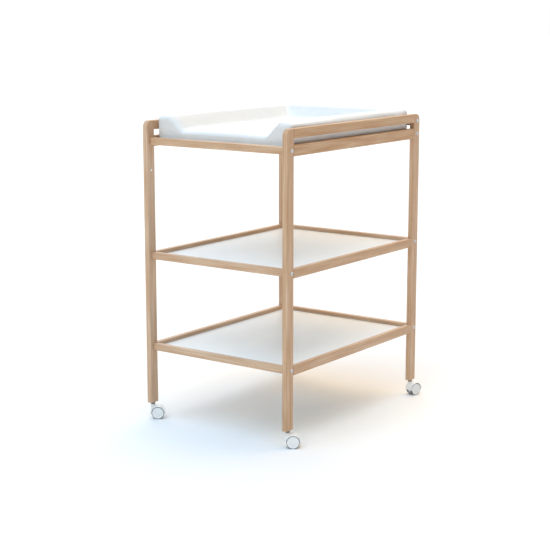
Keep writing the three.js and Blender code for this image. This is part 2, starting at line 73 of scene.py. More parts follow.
class Axis(Enum):
    """A direction of the table."""

    X = 0
    Y = 1
    Z = 2

    def place(self, u: float, v: float, w: float) -> Vector:
        """Puts the drawn point (u, v) at w along this axis."""
        spots = {Axis.X: (w, u, v), Axis.Y: (u, w, v), Axis.Z: (u, v, w)}
        return Vector(spots[self])

    def board_order(self) -> tuple[int, int, int]:
        """Coordinates along, across and through a board that lies along this axis."""
        return {Axis.X: (0, 2, 1), Axis.Y: (1, 2, 0), Axis.Z: (2, 1, 0)}[self]


class Side(Enum):
    """The left or right side frame."""

    LEFT = -1
    RIGHT = 1


class End(Enum):
    """The user's end of the table, or the far end."""

    FRONT = -1
    BACK = 1


class Cut(Enum):
    """How one solid meets another."""

    JOIN = "UNION"
    REMOVE = "DIFFERENCE"


# ---- Nodes and finishes ---------------------------------------------------------------------


def linear(colour: str) -> tuple[float, float, float, float]:
    """Turns an sRGB hex colour into linear red, green, blue and alpha.

    Args:
        colour: six hex digits after a hash sign.

    Returns:
        Four linear values from 0 to 1.
    """
    values = [int(colour[i : i + 2], 16) / 255 for i in (1, 3, 5)]
    red, green, blue = (v / 12.92 if v <= 0.04045 else ((v + 0.055) / 1.055) ** 2.4 for v in values)
    return red, green, blue, 1.0


def add_node(
    tree: NodeTree,
    kind: str,
    inputs: dict[str | int, object] | None = None,
    stops: Sequence[tuple[float, str]] = (),
    **settings: object,
) -> bpy.types.Node:
    """Adds a node, sets its properties, and sets or links its inputs.

    Args:
        tree: the material's node tree.
        kind: the node's type, without its ShaderNode prefix.
        inputs: by socket name or number, a plain value or the output socket to link from.
        stops: a colour ramp's places and hex colours.
        settings: properties of the node itself.

    Returns:
        The new node.
    """
    node = tree.nodes.new(f"ShaderNode{kind}")
    for name, value in settings.items():
        setattr(node, name, value)
    for i, (place, colour) in enumerate(stops):
        stop = node.color_ramp.elements[i] if i < 2 else node.color_ramp.elements.new(place)
        stop.position = place
        stop.color = linear(colour)
    for key, value in (inputs or {}).items():
        if isinstance(value, bpy.types.NodeSocket):
            tree.links.new(value, node.inputs[key])
        else:
            node.inputs[key].default_value = value
    return node


def stretched(tree: NodeTree, source: Socket, size: Sequence[float]) -> Socket:
    """Coordinates divided by the size of one cell of a pattern.

    Args:
        tree: the material's node tree.
        source: coordinates in metres.
        size: a cell's length, width and depth in metres.

    Returns:
        Coordinates in cells.
    """
    share = tuple(1 / length for length in size)
    return add_node(tree, "VectorMath", {0: source, 1: share}, operation="MULTIPLY").outputs[0]


@dataclass(frozen=True)
class Finish:
    """A real material and how its surface was made."""

    name: str
    colour: str
    roughness: float
    ior: float = 1.5
    metallic: float = 0.0
    coat: float = 0.0
    coat_roughness: float = 0.2

    def make(self) -> Material:
        """Builds the material: a shader with this finish's own numbers, then its pattern."""
        material = bpy.data.materials.new(self.name)
        material.use_nodes = True
        material.diffuse_color = linear(self.colour)
        tree = material.node_tree
        shader = tree.nodes["Principled BSDF"]
        shader.inputs["Base Color"].default_value = linear(self.colour)
        shader.inputs["Roughness"].default_value = self.roughness
        shader.inputs["Metallic"].default_value = self.metallic
        shader.inputs["Coat Weight"].default_value = self.coat
        shader.inputs["Coat Roughness"].default_value = self.coat_roughness
        if not self.metallic:
            shader.inputs["IOR"].default_value = self.ior
        self.paint(tree, shader)
        return material

    def paint(self, tree: NodeTree, shader: bpy.types.Node) -> None:
        """Draws the pattern. Each finish has its own."""
        raise NotImplementedError

    @staticmethod
    def here(tree: NodeTree) -> Socket:
        """The piece's own coordinates, in metres."""
        return add_node(tree, "TexCoord").outputs["Object"]

    @staticmethod
    def relief(tree: NodeTree, shader: bpy.types.Node, height: Socket, depth: float) -> None:
        """Raises the surface by a pattern.

        Args:
            tree: the material's node tree.
            shader: the node that the normal goes to.
            height: a pattern from 0 to 1.
            depth: metres between the pattern's lowest and highest points.
        """
        bump = add_node(tree, "Bump", {"Height": height, "Distance": depth, "Strength": 1.0})
        tree.links.new(bump.outputs["Normal"], shader.inputs["Normal"])


@dataclass(frozen=True)
class Beech(Finish):
    """Steamed beech, planed and sanded under a satin clear varnish.

    Gives a pale pinkish tan with soft bands along the board, fine fibres, and the short dark
    flecks of the rays; the end grain is darker and shows the growth rings as arcs.
    """

    deep: str = "#C39975"
    fleck: str = "#8A5C3C"
    end_colour: str = "#B58A65"
    ring_width: float = 4.2 * MM
    fibre: Sequence[float] = (45 * MM, 0.9 * MM, 0.9 * MM)
    # Real flecks are 1 to 3 mm long and a few tenths wide; drawn coarser, so that they show
    fleck_cell: Sequence[float] = (7.0 * MM, 1.7 * MM, 1.7 * MM)
    wander_cell: Sequence[float] = (420 * MM, 34 * MM, 34 * MM)
    patch_cell: Sequence[float] = (160 * MM, 12 * MM, 12 * MM)
    wander: float = 2.4
    taper: float = 0.015
    year_end: float = 0.88
    ring_share: float = 0.34
    fibre_share: float = 0.42
    fleck_strength: float = 0.42
    end_share: float = 0.75
    pore_share: float = 0.8
    tone_swing: float = 0.055
    tone_richness: float = 0.10
    pore_depth: float = 0.09 * MM

    def paint(self, tree: NodeTree, shader: bpy.types.Node) -> None:
        """Bands from rings about a far pith, then fibres, flecks, and the board's own tone."""
        board = add_node(tree, "Attribute", attribute_name="grain").outputs["Vector"]
        tone = add_node(tree, "Attribute", attribute_name="tone").outputs["Fac"]
        end = add_node(tree, "Attribute", attribute_name="end_grain").outputs["Fac"]

        slow = add_node(tree, "TexNoise", {"Vector": stretched(tree, board, self.wander_cell),
                                           "Scale": 1.0, "Detail": 2.0}).outputs["Fac"]
        flat = add_node(tree, "VectorMath", {0: board, 1: (self.taper, 1.0, 1.0)}, operation="MULTIPLY")
        pith = add_node(tree, "VectorMath", {0: flat.outputs[0]}, operation="LENGTH").outputs["Value"]
        count = add_node(tree, "Math", {0: pith, 1: 1 / self.ring_width}, operation="MULTIPLY")
        drift = add_node(tree, "Math", {0: slow, 1: self.wander, 2: count.outputs[0]},
                         operation="MULTIPLY_ADD")
        phase = add_node(tree, "Math", {0: drift.outputs[0]}, operation="FRACT").outputs[0]
        # Wood darkens slowly through a year's growth and starts again pale
        band = add_node(tree, "MapRange", {"Value": phase, "From Min": 0.0,
                                           "From Max": self.year_end,
                                           "To Min": 0.0, "To Max": 1.0},
                        interpolation_type="SMOOTHSTEP").outputs["Result"]
        restart = add_node(tree, "MapRange", {"Value": phase, "From Min": self.year_end, "From Max": 1.0,
                                              "To Min": 1.0, "To Max": 0.0}).outputs["Result"]
        ring = add_node(tree, "Math", {0: band, 1: restart}, operation="MULTIPLY").outputs[0]

        fibres = add_node(tree, "TexNoise", {"Vector": stretched(tree, board, self.fibre),
                                             "Scale": 1.0, "Detail": 3.0,
                                             "Roughness": 0.65}).outputs["Fac"]
        patch = add_node(tree, "TexNoise", {"Vector": stretched(tree, board, self.patch_cell),
                                            "Scale": 1.0, "Detail": 1.0}).outputs["Fac"]
        rings_and_patch = add_node(tree, "Math", {0: ring, 1: self.ring_share, 2: patch},
                                   operation="MULTIPLY_ADD").outputs[0]
        depth = add_node(tree, "Math", {0: fibres, 1: self.fibre_share, 2: rings_and_patch},
                         operation="MULTIPLY_ADD").outputs[0]
        shade = add_node(tree, "MapRange", {"Value": depth, "From Min": 0.42, "From Max": 1.16,
                                            "To Min": 0.0, "To Max": 1.0}).outputs["Result"]
        wood = add_node(tree, "MixRGB", {0: shade, 1: linear(self.colour), 2: linear(self.deep)})

        cell = add_node(tree, "TexVoronoi", {"Vector": stretched(tree, board, self.fleck_cell),
                                             "Scale": 1.0})
        spot = add_node(tree, "MapRange", {"Value": cell.outputs["Distance"], "From Min": 0.10,
                                           "From Max": 0.34, "To Min": 1.0, "To Max": 0.0},
                        interpolation_type="SMOOTHSTEP").outputs["Result"]
        pick = add_node(tree, "SeparateXYZ", {0: cell.outputs["Color"]}).outputs[0]
        chosen = add_node(tree, "MapRange", {"Value": pick, "From Min": 0.25, "From Max": 0.9,
                                             "To Min": 0.0,
                                             "To Max": self.fleck_strength}).outputs["Result"]
        flecks = add_node(tree, "Math", {0: spot, 1: chosen}, operation="MULTIPLY").outputs[0]
        speckled = add_node(tree, "MixRGB", {0: flecks, 1: wood.outputs[0], 2: linear(self.fleck)})

        ended = add_node(tree, "Math", {0: end, 1: self.end_share}, operation="MULTIPLY").outputs[0]
        faced = add_node(tree, "MixRGB", {0: ended, 1: speckled.outputs[0],
                                          2: linear(self.end_colour)})
        # The board's tone: random for most boards, and painted shade on the boards that the mat shades.
        value = add_node(tree, "Math", {0: tone, 1: self.tone_swing, 2: 1.0},
                         operation="MULTIPLY_ADD").outputs[0]
        richness = add_node(tree, "Math", {0: tone, 1: -self.tone_richness, 2: 1.0},
                            operation="MULTIPLY_ADD").outputs[0]
        toned = add_node(tree, "HueSaturation", {"Color": faced.outputs[0], "Value": value,
                                                 "Saturation": richness})
        tree.links.new(toned.outputs[0], shader.inputs["Base Color"])

        gloss = add_node(tree, "MapRange", {"Value": fibres, "From Min": 0.3, "From Max": 0.7,
                                            "To Min": self.roughness - 0.06,
                                            "To Max": self.roughness + 0.08}).outputs["Result"]
        tree.links.new(gloss, shader.inputs["Roughness"])
        pores = add_node(tree, "Math", {0: flecks, 1: -self.pore_share, 2: fibres},
                         operation="MULTIPLY_ADD")
        self.relief(tree, shader, pores.outputs[0], self.pore_depth)


@dataclass(frozen=True)
class Melamine(Finish):
    """White melamine paper pressed on hardboard.

    Gives a cool even white with a soft sheen; the press plate leaves a very fine pebble.
    """

    pebble: float = 1.6 * MM  # real pebble is near 0.3 mm; drawn coarser, so that it shows
    pebble_depth: float = 0.02 * MM
    shadow: str = "#EEF2F4"

    def paint(self, tree: NodeTree, shader: bpy.types.Node) -> None:
        """A fine pebble in relief and gloss, over slow changes of white."""
        here = self.here(tree)
        grain = add_node(tree, "TexNoise", {"Vector": here, "Scale": 1 / self.pebble,
                                            "Detail": 2.0}).outputs["Fac"]
        slow = add_node(tree, "TexNoise", {"Vector": here, "Scale": 9.0, "Detail": 2.0}).outputs["Fac"]
        tint = add_node(tree, "MixRGB", {0: slow, 1: linear(self.colour), 2: linear(self.shadow)})
        tree.links.new(tint.outputs[0], shader.inputs["Base Color"])
        gloss = add_node(tree, "MapRange", {"Value": grain, "From Min": 0.3, "From Max": 0.7,
                                            "To Min": self.roughness - 0.04,
                                            "To Max": self.roughness + 0.06}).outputs["Result"]
        tree.links.new(gloss, shader.inputs["Roughness"])
        self.relief(tree, shader, grain, self.pebble_depth)


@dataclass(frozen=True)
class CoatedCloth(Finish):
    """Polyester knit with a soft white PVC skin, welded into a cover.

    Gives a clean satin white; the skin is embossed with a small leather grain, and slack parts
    show shallow creases.
    """

    emboss: float = 1.5 * MM  # real emboss is near 0.8 mm; drawn coarser, so that it shows
    emboss_depth: float = 0.10 * MM
    crease: Sequence[float] = (38 * MM, 60 * MM, 22 * MM)
    crease_depth: float = 0.9 * MM
    # Painted shade for the hollows of the creases.
    dull_and_crease_shade: str = "#E6E9EB"

    def paint(self, tree: NodeTree, shader: bpy.types.Node) -> None:
        """Leather grain over soft creases, with painted shade in the hollows: a slightly duller white."""
        here = self.here(tree)
        grain = add_node(tree, "TexVoronoi", {"Vector": here, "Scale": 1 / self.emboss},
                         feature="SMOOTH_F1").outputs["Distance"]
        soft = add_node(tree, "TexNoise", {"Vector": stretched(tree, here, self.crease),
                                           "Scale": 1.0, "Detail": 3.0, "Roughness": 0.45,
                                           "Distortion": 0.6}).outputs["Fac"]
        # Painted shade: the low parts of the creases take the duller white.
        tint = add_node(tree, "MixRGB", {0: soft, 1: linear(self.dull_and_crease_shade), 2: linear(self.colour)})
        tree.links.new(tint.outputs[0], shader.inputs["Base Color"])
        gloss = add_node(tree, "MapRange", {"Value": grain, "From Min": 0.0, "From Max": 0.8,
                                            "To Min": self.roughness - 0.05,
                                            "To Max": self.roughness + 0.08}).outputs["Result"]
        tree.links.new(gloss, shader.inputs["Roughness"])
        share = self.emboss_depth / self.crease_depth
        height = add_node(tree, "Math", {0: grain, 1: share, 2: soft}, operation="MULTIPLY_ADD")
        self.relief(tree, shader, height.outputs[0], self.crease_depth)


@dataclass(frozen=True)
class Foam(Finish):
    """Cut open-cell polyether foam: cream and matt, with open cells all over, their pits darkened as
    painted shade.
    """

    cell: float = 1.8 * MM
    cell_depth: float = 0.5 * MM
    # Painted shade for the pits of the open cells.
    painted_pit_shade: str = "#C9BE98"

    def paint(self, tree: NodeTree, shader: bpy.types.Node) -> None:
        """Open cells: painted shade in the pits between pale struts."""
        here = self.here(tree)
        cells = add_node(tree, "TexVoronoi", {"Vector": here, "Scale": 1 / self.cell}).outputs["Distance"]
        # Painted shade: the cell pits take the darker cream.
        tint = add_node(tree, "MixRGB", {0: cells, 1: linear(self.painted_pit_shade), 2: linear(self.colour)})
        tree.links.new(tint.outputs[0], shader.inputs["Base Color"])
        self.relief(tree, shader, cells, self.cell_depth)


@dataclass(frozen=True)
class MouldedPlastic(Finish):
    """A plastic moulded in a lightly spark-eroded tool: even colour, faint texture, soft gloss."""

    texture: float = 0.9 * MM  # real texture is near 0.1 mm; drawn coarser, so that it shows
    texture_depth: float = 0.03 * MM
    scuff: str = "#D9DCDD"
    scuff_share: float = 0.35

    def paint(self, tree: NodeTree, shader: bpy.types.Node) -> None:
        """Tool texture in relief and gloss, over slow changes of colour."""
        here = self.here(tree)
        grain = add_node(tree, "TexNoise", {"Vector": here, "Scale": 1 / self.texture,
                                            "Detail": 3.0}).outputs["Fac"]
        slow = add_node(tree, "TexNoise", {"Vector": here, "Scale": 60.0, "Detail": 3.0}).outputs["Fac"]
        share = add_node(tree, "Math", {0: slow, 1: self.scuff_share}, operation="MULTIPLY")
        tint = add_node(tree, "MixRGB", {0: share.outputs[0], 1: linear(self.colour),
                                         2: linear(self.scuff)})
        tree.links.new(tint.outputs[0], shader.inputs["Base Color"])
        gloss = add_node(tree, "MapRange", {"Value": grain, "From Min": 0.3, "From Max": 0.7,
                                            "To Min": self.roughness - 0.05,
                                            "To Max": self.roughness + 0.07}).outputs["Result"]
        tree.links.new(gloss, shader.inputs["Roughness"])
        self.relief(tree, shader, grain, self.texture_depth)


@dataclass(frozen=True)
class ZincSteel(Finish):
    """Cold-headed steel with bright zinc plating: cool grey metal with fine turning marks."""

    metallic: float = 1.0
    mark: float = 0.35 * MM
    mark_depth: float = 0.012 * MM
    # The darker grey of the cloudy plating.
    dull_and_crease_shade: str = "#B9BBBD"

    def paint(self, tree: NodeTree, shader: bpy.types.Node) -> None:
        """Turning marks round the piece's own Z axis, and cloudy plating."""
        here = self.here(tree)
        flat = add_node(tree, "VectorMath", {0: here, 1: (1.0, 1.0, 0.0)}, operation="MULTIPLY")
        radius = add_node(tree, "VectorMath", {0: flat.outputs[0]}, operation="LENGTH").outputs["Value"]
        height = add_node(tree, "SeparateXYZ", {0: here}).outputs[2]
        along = add_node(tree, "Math", {0: radius, 1: height}, operation="ADD").outputs[0]
        turns = add_node(tree, "Math", {0: along, 1: math.tau / self.mark}, operation="MULTIPLY")
        marks = add_node(tree, "Math", {0: turns.outputs[0]}, operation="SINE").outputs[0]
        cloud = add_node(tree, "TexNoise", {"Vector": here, "Scale": 420.0, "Detail": 3.0}).outputs["Fac"]
        tint = add_node(tree, "MixRGB", {0: cloud, 1: linear(self.colour), 2: linear(self.dull_and_crease_shade)})
        tree.links.new(tint.outputs[0], shader.inputs["Base Color"])
        gloss = add_node(tree, "MapRange", {"Value": cloud, "From Min": 0.3, "From Max": 0.7,
                                            "To Min": self.roughness - 0.06,
                                            "To Max": self.roughness + 0.1}).outputs["Result"]
        tree.links.new(gloss, shader.inputs["Roughness"])
        self.relief(tree, shader, marks, self.mark_depth)


@dataclass(frozen=True)
class PaintedFloor(Finish):
    """A studio floor painted matt white: even, with a faint roller texture."""

    def paint(self, tree: NodeTree, shader: bpy.types.Node) -> None:
        """Roller texture in relief only."""
        nap = add_node(tree, "TexNoise", {"Vector": self.here(tree), "Scale": 220.0}).outputs["Fac"]
        self.relief(tree, shader, nap, 0.01 * MM)


@dataclass
class Palette:
    """Every finish of the table, made once."""

    beech: Material = field(default_factory=Beech(
        "beech_satin_varnish", "#E2C5A8", 0.46, ior=1.5, coat=0.12, coat_roughness=0.3).make)
    board: Material = field(default_factory=Melamine(
        "melamine_faced_board", "#F5F7F8", 0.36, ior=1.55).make)
    cover: Material = field(default_factory=CoatedCloth(
        "pvc_coated_knit", "#EFF1F3", 0.44, ior=1.52, coat=0.06, coat_roughness=0.35).make)
    foam: Material = field(default_factory=Foam(
        "polyether_foam", "#E9E1C6", 0.95, ior=1.45).make)
    nylon: Material = field(default_factory=MouldedPlastic(
        "moulded_white_nylon", "#FCFCFC", 0.32, ior=1.53, scuff="#ECEEEF", coat=0.5,
        coat_roughness=0.2).make)
    tread: Material = field(default_factory=MouldedPlastic(
        "moulded_grey_rubber", "#6E6F71", 0.62, ior=1.5, scuff="#8A8B8C",
        texture_depth=0.06 * MM).make)
    steel: Material = field(default_factory=ZincSteel(
        "bright_zinc_plated_steel", "#DCDDDE", 0.27).make)
    dark_steel: Material = field(default_factory=ZincSteel(
        "phosphated_steel", "#8C8580", 0.42, dull_and_crease_shade="#75706C").make)
    floor: Material = field(default_factory=PaintedFloor(
        "matt_white_floor", "#FCFCFC", 0.9).make)


# ---- Shapes -----------------------------------------------------------------------------------


def arc(centre: Pair, radius: float, start: float, stop: float, steps: int) -> list[Pair]:
    """Points of an arc.

    Args:
        centre: the arc's centre.
        radius: its radius.
        start: first angle, in radians.
        stop: last angle, in radians.
        steps: straight pieces that it is drawn with.

    Returns:
        One point more than there are steps.
    """
    angles = [start + (stop - start) * i / steps for i in range(steps + 1)]
    return [(centre[0] + radius * math.cos(a), centre[1] + radius * math.sin(a)) for a in angles]


@dataclass(frozen=True)
class RoundedRectangle:
    """A rectangle with a radius for each corner, anticlockwise from the lower left."""

    u: Pair
    v: Pair
    radii: tuple[float, float, float, float]
    steps: int = 5

    def points(self, inset: float) -> list[Pair]:
        """The outline with every side moved in.

        Args:
            inset: how far the sides move.

        Returns:
            As many points for one inset as for another.
        """
        (u0, u1), (v0, v1) = self.u, self.v
        corners = ((u0, v0, 1, 1), (u1, v0, -1, 1), (u1, v1, -1, -1), (u0, v1, 1, -1))
        outline: list[Pair] = []
        for i, (u, v, du, dv) in enumerate(corners):
            radius = max(self.radii[i] - inset, 0.0)
            centre = (u + du * (inset + radius), v + dv * (inset + radius))
            start = math.pi * (1 + i / 2)
            outline += arc(centre, radius, start, start + math.pi / 2, self.steps)
        return outline


@dataclass(frozen=True)
class HalfDisc:
    """The outline of a fender: a half disc with a short straight skirt under it."""

    centre: Pair
    radius: float
    skirt: float
    steps: int = 40

    def points(self, inset: float) -> list[Pair]:
        """The outline moved inwards by an inset."""
        (u, v), radius = self.centre, self.radius - inset
        low = v - self.skirt + inset
        return arc(self.centre, radius, 0.0, math.pi, self.steps) + [(u - radius, low), (u + radius, low)]


def loft(rings: Sequence[Sequence[Vector]], closed: bool = False) -> Shape:
    """Skins rings of equal length into a closed body.

    Args:
        rings: the body's sections in order.
        closed: True joins the last ring to the first, False caps both.

    Returns:
        A body with merged points and faces that look outwards.
    """
    shape = bmesh.new()
    rows = [[shape.verts.new(point) for point in ring] for ring in rings]
    pairs = list(zip(rows, rows[1:])) + ([(rows[-1], rows[0])] if closed else [])
    for low, high in pairs:
        for i in range(len(low)):
            j = (i + 1) % len(low)
            shape.faces.new((low[i], low[j], high[j], high[i]))
    if not closed:
        shape.faces.new(rows[0])
        shape.faces.new(rows[-1])
    bmesh.ops.remove_doubles(shape, verts=shape.verts, dist=1e-6)
    bmesh.ops.recalc_face_normals(shape, faces=shape.faces)
    return shape


def eased_slab(
    outline: Callable[[float], list[Pair]], through: Axis, span: Pair, ease: float, steps: int
) -> Shape:
    """An outline grown along an axis, with the edges of both its faces rounded.

    Args:
        outline: gives the drawn points for an inset.
        through: the axis that it grows along.
        span: where it starts and stops on that axis.
        ease: radius of the rounded edges.
        steps: straight pieces in each rounding.

    Returns:
        The closed body.
    """
    rings: list[Pair] = []
    for i in range(steps + 1):
        angle = math.pi / 2 * i / steps
        rings.append((ease * (1 - math.sin(angle)), span[0] + ease * (1 - math.cos(angle))))
    rings += [(inset, span[0] + span[1] - w) for inset, w in reversed(rings)]
    return loft([[through.place(u, v, w) for u, v in outline(inset)] for inset, w in rings])


def block(low: Sequence[float], high: Sequence[float]) -> Shape:
    """A plain box between two corners, for cutting and joining."""
    outline = RoundedRectangle((low[0], high[0]), (low[1], high[1]), (0.0, 0.0, 0.0, 0.0), 1)
    return eased_slab(outline.points, Axis.Z, (low[2], high[2]), 0.0, 1)


def revolve(profile: Sequence[tuple[Radius, float]], sides: int, closed: bool = False) -> Shape:
    """Turns a profile about Z.

    Args:
        profile: pairs of radius and height; a radius may be a function of the angle.
        sides: points in each ring.
        closed: True for a ring with a hole through it.

    Returns:
        The closed body.
    """
    angles = [math.tau * i / sides for i in range(sides)]
    rings = []
    for radius, height in profile:
        reach = [radius(a) if callable(radius) else radius for a in angles]
        rings.append([Vector((r * math.cos(a), r * math.sin(a), height)) for r, a in zip(reach, angles)])
    return loft(rings, closed)


def hexagon(across_flats: float) -> Callable[[float], float]:
    """Radius of a hexagon as a function of the angle."""
    sixth = math.tau / 6
    return lambda angle: across_flats / 2 / math.cos((angle % sixth) - sixth / 2)


def bore(radius: float, axis: Axis, start: Sequence[float], length: float, sides: int = 32) -> Shape:
    """A round bar along an axis, for cutting a hole.

    Args:
        radius: of the hole.
        axis: the way it runs.
        start: centre of its first end.
        length: how far it runs, towards plus.
        sides: points round it.

    Returns:
        The closed bar.
    """
    shape = revolve([(radius, 0.0), (radius, length)], sides)
    turns = {Axis.X: Matrix.Rotation(math.pi / 2, 4, "Y"),
             Axis.Y: Matrix.Rotation(-math.pi / 2, 4, "X"),
             Axis.Z: Matrix.Identity(4)}
    shape.transform(Matrix.Translation(Vector(start)) @ turns[axis])
    return shape


def link(name: str, shape: Shape) -> Object:
    """Puts a shape into the scene as an object with the given name."""
    mesh = bpy.data.meshes.new(name)
    shape.to_mesh(mesh)
    shape.free()
    piece = bpy.data.objects.new(name, mesh)
    bpy.context.scene.collection.objects.link(piece)
    return piece


def settled(piece: Object) -> bpy.types.Mesh:
    """The piece's mesh with all its modifiers applied."""
    bpy.context.view_layer.update()
    now = bpy.context.evaluated_depsgraph_get()
    return bpy.data.meshes.new_from_object(piece.evaluated_get(now), depsgraph=now)


def apply_modifiers(piece: Object) -> None:
    """Gives the piece its final mesh and drops its modifiers."""
    mesh = settled(piece)
    piece.modifiers.clear()
    piece.data = mesh


def combine(piece: Object, tools: Sequence[tuple[Cut, Shape]]) -> None:
    """Joins solids to a piece or cuts them from it, in order.

    Args:
        piece: the piece to change.
        tools: each solid with what it does.
    """
    helpers = []
    for cut, shape in tools:
        helper = link("tool", shape)
        meet = piece.modifiers.new("meet", "BOOLEAN")
        meet.operation = cut.value
        meet.solver = "EXACT"
        meet.object = helper
        helpers.append(helper)
    apply_modifiers(piece)
    for helper in helpers:
        bpy.data.objects.remove(helper)


def crisp(piece: Object, corner: float = 32.0) -> None:
    """Shades a piece smooth up to its corners, with its flat faces truly flat.

    Args:
        piece: the piece.
        corner: degrees between faces from which an edge stays sharp.
    """
    mesh = piece.data
    mesh.polygons.foreach_set("use_smooth", [True] * len(mesh.polygons))
    mesh.set_sharp_from_angle(angle=math.radians(corner))
    even = piece.modifiers.new("even_normals", "WEIGHTED_NORMAL")
    even.keep_sharp = True
    even.weight = 100


def recentre(piece: Object) -> None:
    """Moves the piece's origin to the middle of its box and leaves its shape in place."""
    corners = [Vector(corner) for corner in piece.bound_box]
    middle = (corners[0] + corners[6]) / 2
    piece.data.transform(Matrix.Translation(-middle))
    piece.location = middle


def points_of(mesh: bpy.types.Mesh) -> np.ndarray:
    """The mesh's points as rows of x, y and z."""
    flat = np.empty(len(mesh.vertices) * 3, np.float32)
    mesh.vertices.foreach_get("co", flat)
    return flat.reshape(-1, 3).astype(float)


def set_points(mesh: bpy.types.Mesh, points: np.ndarray) -> None:
    """Writes rows of x, y and z into the mesh."""
    mesh.vertices.foreach_set("co", points.astype(np.float32).ravel())
    mesh.update()


def hand_in(piece: Object, material: Material, body: str, slot: str, *nodes: str) -> None:
    """Dresses a piece, lets it ride on its body, and reports it.

    Args:
        piece: the finished piece, in place.
        material: its finish.
        body: the body it moves with.
        slot: not used.
        nodes: the CAD nodes that it stands for, which also name it.
    """
    if nodes:
        piece.name = f"{nodes[0]}_finished"
    piece.data.materials.clear()
    piece.data.materials.append(material)
    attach(piece, body)
    if nodes:
        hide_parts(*nodes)
    log.info("%s rides on %s", piece.name, body)


# ---- Wooden frame -----------------------------------------------------------------------------


